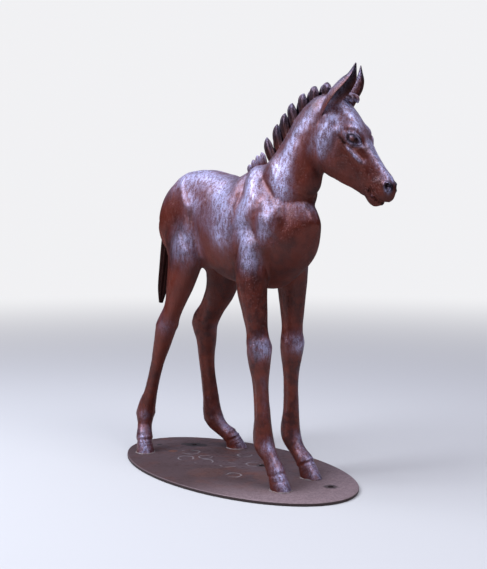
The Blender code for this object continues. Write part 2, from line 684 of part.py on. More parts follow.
def build():
    """Builds the sculpture."""
    clear_scene()
    collection = new_collection("cast iron foal")
    helpers = new_collection("helpers")
    foal(collection, helpers, finish("rust-brown iron", RUST_BROWN, 0.38, 0.6))
    plate(collection, helpers, finish("worn plate iron", PLATE_BROWN, 0.62, 0.5))


build()
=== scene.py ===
"""The looks of a life-size foal cast in iron that stands on a thin oval plate.

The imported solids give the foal's height and place and the plate's size. The foal is modelled again on the
same pattern, in centimetres from the middle of its trunk and from the soles of its hooves, with the finer
modelling that the solids leave out. The foal looks along +X, +Y is its left side and +Z is up.
"""

import logging
import math
from collections.abc import Sequence
from dataclasses import dataclass, field
from enum import Enum

import bmesh
import bpy
import numpy as np
from mathutils import Matrix, Vector, kdtree, noise


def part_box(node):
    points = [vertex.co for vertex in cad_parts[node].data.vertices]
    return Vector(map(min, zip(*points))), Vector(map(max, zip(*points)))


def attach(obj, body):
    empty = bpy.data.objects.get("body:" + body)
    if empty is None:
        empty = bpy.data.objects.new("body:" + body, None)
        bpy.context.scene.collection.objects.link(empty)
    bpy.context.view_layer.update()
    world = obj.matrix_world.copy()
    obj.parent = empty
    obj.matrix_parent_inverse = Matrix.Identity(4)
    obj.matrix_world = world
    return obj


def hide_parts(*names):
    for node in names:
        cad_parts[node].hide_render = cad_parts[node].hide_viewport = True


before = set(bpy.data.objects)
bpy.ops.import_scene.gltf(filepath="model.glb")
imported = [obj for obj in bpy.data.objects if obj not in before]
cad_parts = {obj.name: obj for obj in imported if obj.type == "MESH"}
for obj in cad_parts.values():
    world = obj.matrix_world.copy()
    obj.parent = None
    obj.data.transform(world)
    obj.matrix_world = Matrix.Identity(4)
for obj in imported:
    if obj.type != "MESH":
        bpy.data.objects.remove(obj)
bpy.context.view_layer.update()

LOG = logging.getLogger("iron foal")

Row = tuple[float, ...]
Point = tuple[float, float, float]
Spot = tuple[float, float]
Pull = tuple[Sequence[Point], float, float]
Colour = tuple[float, float, float, float]
Piece = bpy.types.Object
Mesh = bpy.types.Mesh
Material = bpy.types.Material
Tree = bpy.types.ShaderNodeTree
Node = bpy.types.Node

BLACK: Colour = (0.0, 0.0, 0.0, 1.0)
HOLES: tuple[Spot, ...] = ((0.357, 0.066), (0.048, 0.066), (-0.309, 0.066))


class Side(Enum):
    """A side of the foal; the value is the sign of its Y."""

    LEFT = 1
    RIGHT = -1


class Join(Enum):
    """How a second shape changes the first one."""

    UNION = "UNION"
    CUT = "DIFFERENCE"


class Body(Enum):
    """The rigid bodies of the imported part."""

    ROOT = "root"


class Slot(Enum):
    """The material slots of the record."""

    FOAL = "foal_iron"
    PLATE = "plate_iron"


@dataclass(frozen=True)
class Pattern:
    """The maker's pattern: how long its centimetre is in the frame and where its origin lies.

    Attributes:
        cm: Length of one pattern centimetre, in metres.
        place: The pattern's origin in the frame, in metres.
    """

    cm: float
    place: Vector

    HEIGHT = 118.1
    REACH_AHEAD = 55.46
    REACH_LEFT = 17.3

    @classmethod
    def from_node(cls, node: str) -> "Pattern":
        """Reads the pattern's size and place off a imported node.

        Args:
            node: Name of the foal's node.

        Returns:
            The pattern whose height and reaches fit that node's box.
        """
        low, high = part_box(node)
        cm = (high.z - low.z) / cls.HEIGHT
        return cls(cm, Vector((high.x - cls.REACH_AHEAD * cm, high.y - cls.REACH_LEFT * cm, low.z)))

    def matrix(self) -> Matrix:
        """Returns the matrix from pattern centimetres to the frame's metres."""
        return Matrix.Translation(self.place) @ Matrix.Diagonal((self.cm, self.cm, self.cm, 1.0))

    def centimetres(self, points: np.ndarray) -> np.ndarray:
        """Returns points of the frame in pattern centimetres."""
        return (points - np.array(self.place)) / self.cm


@dataclass(frozen=True)
class HeadFrame:
    """Places points given along the face, out of the forehead and to the left of the head."""

    poll: Point = (35.4, 3.6, 110.0)
    turned_left: float = math.radians(15.0)
    face_slope: float = math.radians(54.0)

    @property
    def axes(self) -> tuple[Vector, Vector, Vector]:
        """Directions along the face, out of the forehead and to the head's left.

        Returns:
            Three vectors of length 1.
        """
        level = Vector((math.cos(self.turned_left), math.sin(self.turned_left), 0.0))
        rise = Vector((0.0, 0.0, 1.0))
        along = level * math.cos(self.face_slope) - rise * math.sin(self.face_slope)
        out = level * math.sin(self.face_slope) + rise * math.cos(self.face_slope)
        return along, out, Vector((-math.sin(self.turned_left), math.cos(self.turned_left), 0.0))

    def point(self, along: float, out: float, left: float = 0.0) -> Vector:
        """Returns a point of the head in pattern centimetres."""
        first, second, third = self.axes
        return Vector(self.poll) + first * along + second * out + third * left

    def turn(self) -> Matrix:
        """Returns the rotation that lays X along the face, Y out of it and Z to its left."""
        return Matrix(self.axes).transposed().to_4x4()

    def local(self, points: np.ndarray) -> np.ndarray:
        """Returns pattern points as along, out and left."""
        return (points - np.array(self.poll)) @ np.array(self.axes).T


HEAD = HeadFrame()


def blend(first: Sequence[float], second: Sequence[float], share: float) -> Row:
    """Returns the point at a share of the way from first to second."""
    return tuple(a + (b - a) * share for a, b in zip(first, second))


def spread(rows: Sequence[Row], count: int) -> np.ndarray:
    """Lays rows on one smooth curve.

    Args:
        rows: Rows whose first three numbers are a point.
        count: How many rows to return.

    Returns:
        Rows evenly placed along the curve through the given ones.
    """
    given = np.array(rows, float)
    step = np.linalg.norm(np.diff(given[:, :3], axis=0), axis=1)
    at = np.concatenate([[0.0], np.cumsum(step)])
    slopes = np.gradient(given, at, axis=0)
    places = np.linspace(0.0, at[-1], count)
    index = np.clip(np.searchsorted(at, places, side="right") - 1, 0, len(at) - 2)
    length = (at[index + 1] - at[index])[:, None]
    t = (places - at[index])[:, None] / length
    start, end = given[index], given[index + 1]
    return (
        (2 * t**3 - 3 * t**2 + 1) * start
        + (t**3 - 2 * t**2 + t) * length * slopes[index]
        + (3 * t**2 - 2 * t**3) * end
        + (t**3 - t**2) * length * slopes[index + 1]
    )


def rounded(value: float, power: float) -> float:
    """Returns a sine or cosine reshaped for a section between an ellipse, power 2, and a box."""
    return math.copysign(abs(value) ** (2.0 / power), value)


@dataclass(frozen=True)
class Strands:
    """Grooves that run down a lock of hair.

    Attributes:
        count: How many grooves go round it.
        depth: Their depth as a share of the lock's thickness.
        twist: How far they wind round it from root to tip, in radians.
    """

    count: int
    depth: float
    twist: float = 0.0

    def scale(self, angle: float, share: float) -> float:
        """Returns how far out the surface lies at an angle and a share of the length."""
        wave = math.cos(self.count * angle + self.twist * share)
        return 1.0 - self.depth * (0.5 + 0.5 * wave) ** 2


def new_object(name: str, data: bpy.types.ID) -> Piece:
    """Puts new data into the scene.

    Args:
        name: The object's name.
        data: Its mesh, light or camera.

    Returns:
        The new object.
    """
    made = bpy.data.objects.new(name, data)
    bpy.context.scene.collection.objects.link(made)
    return made


class Clay:
    """Soft solids laid over each other in pattern centimetres."""

    def __init__(self) -> None:
        """Starts with nothing."""
        self.mesh = bmesh.new()

    def loft(
        self,
        rows: Sequence[Row],
        ahead: Sequence[float],
        rings: int,
        sides: int,
        power: float = 2.0,
        scoop: float = 0.0,
        strands: Strands | None = None,
    ) -> None:
        """Adds a closed tube.

        Args:
            rows: Stations: x, y, z, half width, depth ahead, depth behind and a turn in degrees.
            ahead: Direction that the section's ahead side faces, before the station's turn about the upright.
            rings: How many sections to make.
            sides: How many corners each section has.
            power: 2 for an elliptic section, more for a boxier one.
            scoop: Share of the depth that is hollowed out of the ahead side.
            strands: Grooves along the tube, if any.
        """
        stations = spread(rows, rings)
        centres = [Vector(row[:3]) for row in stations]
        loops = []
        for number, row in enumerate(stations):
            before = centres[max(number - 1, 0)]
            after = centres[min(number + 1, rings - 1)]
            along = (after - before).normalized()
            facing = Matrix.Rotation(math.radians(row[6]), 3, "Z") @ Vector(ahead)
            front = (facing - along * facing.dot(along)).normalized()
            side = along.cross(front)
            loop = []
            for corner in range(sides):
                angle = math.tau * corner / sides
                reach = rounded(math.sin(angle), power)
                depth = reach * (row[4] if reach > 0 else row[5])
                if reach > 0:
                    depth -= scoop * (row[4] + row[5]) * reach**2
                width = row[3] * rounded(math.cos(angle), power)
                if strands:
                    grooved = strands.scale(angle, number / (rings - 1))
                    depth *= grooved
                    width *= grooved
                loop.append(self.mesh.verts.new(centres[number] + side * width + front * depth))
            loops.append(loop)
        for first, second in zip(loops, loops[1:]):
            for corner in range(sides):
                following = (corner + 1) % sides
                self.mesh.faces.new((first[corner], first[following], second[following], second[corner]))
        self.mesh.faces.new(list(reversed(loops[0])))
        self.mesh.faces.new(loops[-1])

    def lump(self, centre: Sequence[float], radii: Sequence[float], turn: Matrix | None = None,
             fineness: int = 10) -> None:
        """Adds an ellipsoid of muscle or bone.

        Args:
            centre: Its middle.
            radii: Its three half axes.
            turn: Rotation of those axes.
            fineness: Rings from pole to pole; there are twice as many round.
        """
        turn = turn or Matrix.Identity(4)
        place = Matrix.Translation(Vector(centre)) @ turn @ Matrix.Diagonal((*radii, 1.0))
        bmesh.ops.create_uvsphere(
            self.mesh, u_segments=2 * fineness, v_segments=fineness, radius=1.0, matrix=place
        )

    def head_lumps(self, place: Point, radii: Point, fineness: int = 10) -> None:
        """Adds the same ellipsoid on both sides of the head, or once in the middle.

        Args:
            place: Its middle, along, out of and across the face.
            radii: Its half axes in the same directions.
            fineness: Rings from pole to pole.
        """
        along, out, left = place
        for side in Side if left else (Side.LEFT,):
            self.lump(HEAD.point(along, out, left * side.value), radii, HEAD.turn(), fineness)

    def to_object(self, name: str, pattern: Pattern) -> Piece:
        """Turns the clay into an object in the frame and empties it.

        Args:
            name: The object's name.
            pattern: Where the pattern stands in the frame.

        Returns:
            The new object, linked to the scene.
        """
        bmesh.ops.recalc_face_normals(self.mesh, faces=self.mesh.faces)
        self.mesh.transform(pattern.matrix())
        data = bpy.data.meshes.new(name)
        self.mesh.to_mesh(data)
        self.mesh.free()
        return new_object(name, data)


@dataclass(frozen=True)
class Stroke:
    """One pull of the modelling tool along a path.

    Attributes:
        path: Points of the path in pattern centimetres, or one point.
        radius: How far the stroke fades out on either side, in centimetres.
        height: How far it raises the skin, in centimetres; a groove is negative.
    """

    path: tuple[Point, ...]
    radius: float
    height: float

    FADED = 2.6
    STEP = 0.45

    def on_skin(self, tree: kdtree.KDTree) -> "Stroke":
        """Lays the stroke on the skin.

        Args:
            tree: The skin's points.

        Returns:
            The stroke with a path from point to point of the skin.
        """
        laid = []
        for first, second in zip(self.path, self.path[1:] or self.path):
            steps = max(1, round((Vector(second) - Vector(first)).length / self.STEP))
            laid += [tuple(tree.find(blend(first, second, number / steps))[0]) for number in range(steps)]
        laid.append(tuple(tree.find(self.path[-1])[0]))
        return Stroke(tuple(laid), self.radius, self.height)

    def fade(self, points: np.ndarray) -> tuple[np.ndarray, np.ndarray]:
        """Works out where the stroke reaches.

        Args:
            points: Points in pattern centimetres.

        Returns:
            The indices of the points that it reaches and its strength at each of them.
        """
        path = np.array(self.path, float)
        reach = self.radius * self.FADED
        near = np.flatnonzero(np.all((points > path.min(0) - reach) & (points < path.max(0) + reach), axis=1))
        places = points[near]
        nearest = np.linalg.norm(places - path[0], axis=1)
        for start, end in zip(path, path[1:]):
            line = end - start
            share = np.clip((places - start) @ line / max(line @ line, 1e-9), 0.0, 1.0)
            nearest = np.minimum(nearest, np.linalg.norm(places - start - share[:, None] * line, axis=1))
        return near, np.exp(-((nearest / self.radius) ** 2))


def heights(points: np.ndarray, strokes: Sequence[Stroke]) -> np.ndarray:
    """Adds up strokes.

    Args:
        points: Points in pattern centimetres.
        strokes: The strokes.

    Returns:
        The height of all strokes together at each point.
    """
    height = np.zeros(len(points))
    for stroke in strokes:
        near, strength = stroke.fade(points)
        height[near] += stroke.height * strength
    return height


def both_sides(*pulls: Pull) -> list[Stroke]:
    """Makes strokes of the right side and their twins on the left.

    Args:
        pulls: Path on the right side, radius and height of each.

    Returns:
        Two strokes for each.
    """
    made = []
    for path, radius, height in pulls:
        made.append(Stroke(tuple(path), radius, height))
        made.append(Stroke(tuple((x, -y, z) for x, y, z in path), radius, height))
    return made


def on_head(*pulls: Pull) -> list[Stroke]:
    """Makes strokes on both sides of the head.

    Args:
        pulls: Path along, out of and across the face, radius and height of each.

    Returns:
        Two strokes for each.
    """
    made = []
    for path, radius, height in pulls:
        for side in Side:
            laid = tuple(tuple(HEAD.point(along, out, left * side.value)) for along, out, left in path)
            made.append(Stroke(laid, radius, height))
    return made


def ring(centre: Vector, first: Vector, second: Vector, count: int) -> list[Point]:
    """Returns the points of a closed oval round a centre, with two half axes."""
    turns = [math.tau * number / count for number in range(count + 1)]
    return [tuple(centre + first * math.cos(turn) + second * math.sin(turn)) for turn in turns]


@dataclass
class Trunk:
    """Croup, barrel and chest.

    Attributes:
        stations: Sections from the tail root to the breastbone.
        power: How boxy the sections are.
    """

    stations: tuple[Row, ...] = (
        (-35.0, 0, 79.0, 3.0, 4.0, 5.0, 0),
        (-32.4, 0, 78.0, 7.2, 9.8, 9.5, 0),
        (-27.5, 0, 76.5, 9.8, 13.9, 13.5, 0),
        (-21.0, 0, 75.8, 9.9, 15.7, 15.2, 0),
        (-14.0, 0, 75.3, 10.0, 16.1, 15.0, 0),
        (-7.0, 0, 74.8, 9.9, 15.1, 14.8, 0),
        (0.0, 0, 73.4, 10.4, 14.9, 16.2, 0),
        (7.0, 0, 73.0, 10.5, 17.2, 17.0, 0),
        (13.0, 0, 73.0, 9.8, 19.0, 17.2, 0),
        (19.0, 0, 72.5, 9.2, 17.0, 16.5, 0),
        (25.0, 0, 72.8, 7.9, 14.0, 11.4, 0),
        (29.5, 0, 74.6, 5.6, 10.2, 6.6, 0),
        (32.4, 0, 75.8, 3.4, 6.4, 3.4, 0),
        (34.0, 0, 76.4, 1.2, 2.6, 2.0, 0),
    )
    power: float = 2.15

    def shape(self, clay: Clay) -> None:
        """Adds the trunk and its large muscles to the clay.

        Args:
            clay: The clay.
        """
        clay.loft(self.stations, (0, 0, 1), rings=60, sides=48, power=self.power)
        for side in Side:
            clay.lump((21.5, 5.2 * side.value, 74.5), (6.5, 4.6, 8.5))
            clay.lump((-20.5, 5.6 * side.value, 70.0), (10.0, 4.6, 12.0))
            clay.lump((-28.6, 4.6 * side.value, 74.0), (4.4, 3.6, 9.0))

    def forms(self) -> list[Stroke]:
        """Returns the broad forms of shoulder, chest, ribs, hip and thigh."""
        return both_sides(
            ([(9.9, -5, 88.6), (11.4, -8.6, 84.4), (10.6, -10, 80), (9.6, -10.4, 75.8),
              (9.7, -10, 66)], 1.7, -0.9),
            ([(12.6, -4.5, 90), (14.9, -7.4, 86), (16.2, -9, 81.5), (16, -9.8, 77.2)], 2.6, 0.6),
            ([(18.3, -5.5, 86.6), (21.9, -7.2, 83.7), (25.3, -8, 80.4)], 1.8, -0.7),
            ([(21.0, -4.6, 91), (24.6, -6, 86.2), (27.6, -6.8, 81.5)], 2.2, 0.5),
            ([(23.4, -9.4, 74.3)], 4.4, 0.5),
            ([(12.6, -10, 77.0)], 3.4, 0.6),
            ([(11.0, -10, 73.4), (15.8, -10, 73.8), (19, -9.8, 71.6)], 1.5, -0.7),
            ([(15.2, -9.6, 68.6), (15.2, -9.8, 63)], 3.0, 0.4),
            ([(29.0, -6, 86), (31.4, -5, 83.6), (33, -3, 81.6), (33.6, 0, 80.6)], 1.6, -0.5),
            ([(-21.0, -5.6, 88.4), (-13.5, -5.8, 88.6), (-5.7, -5.4, 88), (2, -5, 87)], 1.8, 0.4),
            ([(-20.0, -7.4, 86), (-17.2, -9, 82.2), (-13.5, -10, 79)], 1.8, 0.25),
            ([(-12.5, -9, 83.6)], 3.4, -0.5),
            ([(-12.2, -10, 77.2), (-10.8, -9.8, 72.6), (-10.2, -9.4, 68), (-8.4, -8.8, 63.8)],
             2.0, -1.3),
            ([(-16.5, -10.6, 69.5)], 5.0, 0.7),
            ([(4.5, -10.6, 74.0)], 7.0, 0.5),
        )

    def details(self) -> list[Stroke]:
        """Returns the finer grooves and edges of the trunk."""
        return both_sides(
            ([(9.6, -6, 88), (11.0, -8.6, 84.4), (10.2, -10, 80), (9.2, -10.4, 75.8),
              (9.2, -10, 68)], 0.7, -0.12),
            ([(17.5, -10, 76.9), (19.6, -10, 78.4), (22.9, -10, 78.6), (27, -9.5, 77.5),
              (29.3, -8.5, 75.3), (28.3, -8, 72.5), (25.9, -8.5, 70.3), (23, -9, 69.4),
              (20.6, -9.5, 70.6), (18.4, -10, 72.8), (17.5, -10, 76.9)], 0.9, -0.15),
            ([(19.1, -5, 89.4), (22.5, -6, 85.4), (25.6, -7, 82.4), (27.7, -7.5, 80.2)],
             0.6, 0.22),
            ([(29.4, -4, 96), (28.6, -5.5, 89.7), (27.9, -7, 82.6)], 0.8, 0.22),
            ([(18.0, -6, 87.4), (21.4, -7, 84.4), (24.8, -8, 81.2)], 0.7, -0.2),
            ([(28.4, -7, 86.6), (31.0, -5.4, 84), (32.6, -3.4, 82.2), (33.6, 0, 81.2)],
             0.6, -0.25),
            ([(24.5, -8.4, 70.6), (21.6, -7.6, 65.6), (19.6, -6.4, 60.8)], 1.1, -0.24),
            ([(-20.2, -6.6, 87.6), (-18.6, -8.4, 84.6), (-15.6, -9.8, 80.9), (-11.5, -10, 77.9),
              (-9.0, -10, 78.4), (-6.2, -9.5, 81.7), (-5.2, -8, 85.3)], 0.7, 0.2),
            ([(-12.6, -10, 77.6), (-11.2, -10, 72.6), (-10.6, -9.5, 68), (-9.0, -9, 64.4)],
             0.8, -0.12),
            ([(-31.0, -5.4, 82), (-31.4, -7, 76), (-29.0, -8, 69), (-27.0, -8.4, 63)], 1.1, -0.35),
            ([(-11.9, -10, 65.9)], 1.8, 0.3),
            ([(-16.4, -9.8, 61.8), (-19.6, -10.6, 56.5), (-22.8, -10.6, 50.5)], 0.9, -0.25),
            ([(-7.5, -8.6, 65.0), (-2.0, -8.6, 62.4), (5.0, -8.2, 60.8)], 1.0, 0.16),
            ([(6.4, -10, 80), (4.6, -10.4, 72), (5.6, -9.4, 66)], 1.0, -0.12),
            ([(2.8, -10, 80), (1.0, -10.4, 72), (1.8, -9.4, 66)], 1.0, -0.10),
        ) + [
            Stroke(((-6.0, 0, 91), (-16.0, 0, 91.6), (-26.0, 0, 90), (-31.0, 0, 87)), 1.1, -0.3),
            Stroke(((34.0, 0, 78), (33.2, 0, 72), (29.0, 0, 64), (24.0, 0, 58)), 1.1, -0.15),
        ]

    def painted_highlights(self) -> list[Stroke]:
        """Returns where pale sky highlights are painted on the trunk; the heights are strengths."""
        return both_sides(
            ([(-20.0, -6, 88), (-12.0, -5.5, 89), (-4.0, -5, 88)], 3.0, 0.8),
            ([(-13.6, -8.9, 83.3), (-10.9, -9.4, 80.2)], 3.2, 0.45),
            ([(1.4, -8.8, 83.6), (4.8, -10.5, 78.0), (4.4, -10.9, 72.4)], 4.0, 1.2),
            ([(-8.0, -9.8, 78), (-2.0, -10.4, 75)], 3.6, 0.25),
            ([(13.4, -6, 88.4), (15.4, -8.8, 83.0), (13.7, -10, 78.9), (12.7, -9.6, 74)],
             2.9, 1.1),
            ([(24.2, -6, 90), (26.0, -6.4, 84)], 2.8, 1.0),
            ([(23.4, -9.2, 78.0), (22.9, -9.9, 72.1)], 2.6, 0.8),
            ([(-15.1, -11.0, 68.5)], 4.8, 1.0),
            ([(15.0, -10.8, 70.4), (17.2, -11.4, 68.1), (18.8, -11.6, 64.2)], 2.7, 1.1),
        ) + [
            Stroke(((-24.0, 0, 90.6), (-14.0, 0, 91.4)), 4.0, 0.8),
        ]


@dataclass
class Neck:
    """The neck, bent a little to the left.

    Attributes:
        stations: Sections from the chest to the poll.
    """

    stations: tuple[Row, ...] = (
        (15.0, 0, 77.0, 7.6, 13.0, 11.0, 0),
        (20.0, 0.1, 82.5, 6.9, 11.0, 10.5, 0),
        (24.6, 0.6, 88.6, 5.8, 9.3, 9.6, 0),
        (28.4, 1.5, 95.4, 4.9, 7.9, 7.2, 0),
        (31.8, 2.5, 101.8, 4.5, 7.0, 6.2, 0),
        (35.4, 3.5, 106.2, 4.1, 5.0, 5.0, 0),
        (38.0, 4.2, 107.5, 3.0, 3.0, 3.5, 0),
    )

    def shape(self, clay: Clay) -> None:
        """Adds the neck to the clay."""
        clay.loft(self.stations, (-0.8, -0.1, 0.6), rings=40, sides=40)

    def details(self) -> list[Stroke]:
        """Returns the groove beside the windpipe and the one below the crest."""
        return [
            Stroke(((35.2, -0.6, 96.0), (33.6, -2.2, 91.5), (31.6, -4.2, 87.0)), 1.1, -0.3),
            Stroke(((37.6, 6.0, 96.0), (34.4, 5.6, 91.5), (32.0, 5.2, 87.0)), 1.1, -0.3),
            Stroke(((31.0, -1.6, 106.6), (26.8, -2.6, 101.6), (22.6, -3.6, 95.0)), 1.2, -0.22),
            Stroke(((31.0, 6.6, 106.6), (26.4, 5.2, 101.6), (22.2, 4.6, 95.0)), 1.2, -0.22),
        ]

    def painted_highlights(self) -> list[Stroke]:
        """Returns the painted pale highlight strip along each side of the neck; the heights are strengths."""
        return [
            Stroke(((32.4, -1.6, 104.4), (27.7, -2.6, 100.0), (26.3, -4.0, 94.2), (25.3, -5.7, 87.5)),
                   2.4, 1.1),
            Stroke(((30.6, 6.8, 105.0), (27.6, 6.2, 99.0), (24.4, 5.8, 92.0)), 2.2, 0.8),
        ]


@dataclass
class Head:
    """Skull, jaw and muzzle, given along, out of and across the face.

    Attributes:
        sections: Along, out, half width, depth out and depth in, from the poll to the lips.
        power: How boxy the sections are.
        nostril: Middle of the left nostril's opening.
        nostril_radii: Half axes of the shape that cuts it.
        socket: Middle of the left eye's opening.
        eye_shade_lines: Half length, half height, radius and strength of the painted shade lines round it.
        mouth: The line of the lips from its corner to the front.
    """

    sections: tuple[Row, ...] = (
        (0.0, -4.0, 3.2, 5.6, 3.0),
        (3.5, -4.0, 4.8, 7.3, 5.6),
        (7.5, -4.2, 5.6, 8.2, 8.0),
        (12.0, -4.3, 5.4, 8.3, 9.2),
        (16.0, -4.3, 4.9, 7.8, 9.0),
        (20.0, -4.0, 4.4, 6.8, 7.1),
        (24.0, -3.2, 3.5, 5.6, 5.7),
        (28.0, -2.5, 3.0, 4.8, 4.8),
        (31.0, -2.2, 3.0, 4.6, 4.3),
        (33.2, -2.2, 2.7, 3.6, 3.4),
        (34.8, -2.3, 1.5, 1.7, 1.7),
    )
    power: float = 2.3
    nostril: Point = (32.3, 1.3, 2.7)
    nostril_radii: Point = (1.20, 0.85, 1.40)
    socket: Point = (15.9, 0.7, 4.1)
    eye_shade_lines: tuple[Row, ...] = ((1.75, 1.10, 0.34, 1.0), (0.80, 0.62, 0.20, 0.9))
    mouth: tuple[Point, ...] = ((29.2, -3.6, 3.6), (31.0, -3.9, 3.3), (33.2, -3.6, 2.4), (34.8, -3.3, 1.0),
                                (35.2, -3.2, 0.0))

    def shape(self, clay: Clay) -> None:
        """Adds the head to the clay.

        Args:
            clay: The clay.
        """
        stations = [
            (*HEAD.point(along, out), wide, up, down, 0) for along, out, wide, up, down in self.sections
        ]
        clay.loft(stations, HEAD.axes[1], rings=50, sides=40, power=self.power)
        clay.head_lumps((11.0, -7.2, 2.4), (6.8, 6.2, 3.0))
        clay.head_lumps((14.0, 1.7, 2.5), (3.8, 1.9, 1.8))
        clay.head_lumps((6.3, -2.2, 3.9), (2.8, 2.6, 2.0))
        clay.head_lumps((31.2, 0.3, 1.5), (2.0, 1.8, 1.5))
        clay.head_lumps((31.4, -5.3, 0.0), (2.5, 1.5, 2.2))
        clay.head_lumps((33.3, -2.9, 0.0), (1.5, 1.5, 2.0))

    def forms(self) -> list[Stroke]:
        """Returns the broad forms of jaw, brow, cheek crest and muzzle."""
        return on_head(
            ([(5.4, -4.5, 5.4), (8.4, -8.3, 5.2), (10.6, -10.4, 4.8), (13, -11.6, 4.4),
              (16.4, -12.6, 3.6)], 1.5, -0.9),
            ([(10.5, -6.8, 5.6)], 4.0, 0.5),
            ([(14.6, -1.7, 5.8), (18.5, -1.4, 5.0), (23.5, -1.2, 3.9)], 0.9, 0.5),
            ([(17.0, 1.4, 5.6)], 2.2, -0.4),
            ([(13.2, 3.4, 4.4), (16.0, 4.0, 4.2), (18.6, 3.4, 3.8)], 1.2, 0.35),
            ([(22.5, 0.6, 3.8), (27.5, 0.2, 3.2)], 1.3, -0.3),
            ([(28.6, -3.6, 3.4), (31.8, -3.9, 3.2), (34.4, -3.2, 0.8)], 0.8, -0.45),
            ([(6.0, 1.6, 5.0), (10.0, -0.4, 5.6)], 1.6, -0.4),
        )

    def details(self) -> list[Stroke]:
        """Returns the finer lines of the face."""
        return self.nostril_rims(0.45, 0.22) + on_head(
            ([(17.0, -1.3, 5.2), (19.0, -1.2, 4.8), (20.6, -1.0, 4.4), (22.2, -0.8, 4.0)],
             0.50, 0.46),
            ([(18.4, 0.0, 4.7), (20.2, 0.1, 4.2), (22.0, 0.2, 3.9)], 0.75, -0.36),
            ([(16.8, -2.6, 5.4), (20.0, -2.5, 4.8), (23.4, -2.3, 4.0)], 0.80, -0.22),
            ([(13.0, -1.6, 5.1), (15.4, -1.7, 5.0), (17.8, -0.4, 4.6)], 0.50, -0.40),
            ([(12.8, 0.8, 4.8), (14.6, 2.6, 4.2), (17.2, 3.2, 3.6), (19.0, 2.6, 3.4)], 0.50, -0.35),
            ([(12.8, -2.2, 6.0), (14.8, -5.6, 5.6), (15.8, -9.4, 4.8)], 0.9, -0.24),
            ([(8.2, -0.2, 5.6), (10.6, 0.4, 5.2), (11.4, -1.4, 5.6), (9.2, -2.4, 6.0),
              (8.2, -0.2, 5.6)], 0.9, 0.15),
            ([(9.8, -0.9, 5.7)], 1.0, -0.16),
            ([(11.6, 2.2, 4.2)], 1.6, -0.25),
            ([(20.0, 3.0, 1.7), (25.0, 2.4, 1.5), (29.5, 2.4, 1.3)], 0.8, 0.16),
            ([(30.4, -0.8, 3.3), (32.4, -1.2, 2.9)], 1.0, -0.16),
            ([(28.4, -3.6, 3.7)], 0.8, -0.22),
            ([(27.8, -6.2, 2.4), (29.4, -6.9, 1.4), (29.8, -7.2, 0.0)], 0.8, -0.18),
            ([(24.5, -5.4, 3.6), (20.0, -8.0, 4.2), (16.5, -10.8, 4.2)], 0.9, 0.16),
            (self.mouth, 0.46, -0.60),
        )

    def nostril_rims(self, radius: float, height: float) -> list[Stroke]:
        """Makes a stroke round each nostril.

        Args:
            radius: How far the stroke fades out.
            height: How far it raises the skin, or how strongly it marks it.

        Returns:
            Both strokes.
        """
        along, out, _ = HEAD.axes
        first, second = along * 1.40 - out * 0.30, out * 1.05 + along * 0.30
        ahead, above, across = self.nostril
        made = []
        for side in Side:
            middle = HEAD.point(ahead, above, across * side.value)
            made.append(Stroke(tuple(ring(middle, first, second, 14)), radius, height))
        return made

    def shaded_hollows(self) -> list[Stroke]:
        """Returns the painted shade inside the nostrils; the height is a strength."""
        along, out, across = self.nostril
        return on_head(([(along, out, across - 0.8)], 1.30, 2.0))

    def painted_shade_lines(self) -> list[Stroke]:
        """Lists the painted shade lines along the mouth and round the eye sockets.

        Returns:
            The strokes; their heights are strengths.
        """
        along, out, _ = HEAD.axes
        ahead, above, across = self.socket
        eye = []
        for side in Side:
            middle = HEAD.point(ahead, above, across * side.value)
            for length, height, radius, strength in self.eye_shade_lines:
                oval = ring(middle, along * length + out * 0.2, out * height, 12)
                eye.append(Stroke(tuple(oval), radius, strength))
        return eye + on_head(
            (self.mouth, 0.32, 0.9),
            ([(13.2, 1.2, 4.6), (15.2, 2.7, 4.2), (17.4, 3.0, 3.7), (18.9, 2.3, 3.4)], 0.42, 1.0),
            ([(13.4, -1.7, 5.0), (15.4, -1.7, 5.0), (17.6, -0.5, 4.5)], 0.42, 1.0),
        )

    def painted_highlights(self) -> list[Stroke]:
        """Returns the painted pale highlights of the face; the heights are strengths."""
        return self.nostril_rims(0.30, 0.8) + on_head(
            ([(9.4, -4.0, 5.4), (10.6, -6.2, 5.8), (11.6, -8.4, 5.6)], 2.8, 1.2),
            ([(7.8, -0.7, 5.2), (11.2, -0.2, 4.9)], 1.6, 0.8),
            ([(7.0, 4.0, 2.4), (11.0, 4.6, 2.6), (13.7, 3.4, 3.3)], 2.0, 1.0),
            ([(19.0, 3.4, 0.6), (24.0, 2.8, 0.4), (30.0, 2.6, 0.2)], 1.2, 1.0),
            ([(17.0, -1.3, 5.2), (19.6, -1.1, 4.6), (22.2, -0.8, 4.0)], 0.60, 1.1),
            ([(32.6, 2.6, 2.4), (33.8, 0.6, 2.4)], 0.8, 0.6),
        )

    def cutters(self, pattern: Pattern) -> list[Piece]:
        """Makes the shapes that cut the nostrils.

        Args:
            pattern: Where the pattern stands in the frame.

        Returns:
            One shape for each nostril.
        """
        along, out, across = self.nostril
        made = []
        for side in Side:
            clay = Clay()
            middle = HEAD.point(along, out, (across + 0.1) * side.value)
            clay.lump(middle, self.nostril_radii, HEAD.turn(), 14)
            made.append(clay.to_object(f"nostril {side.name.lower()}", pattern))
        return made


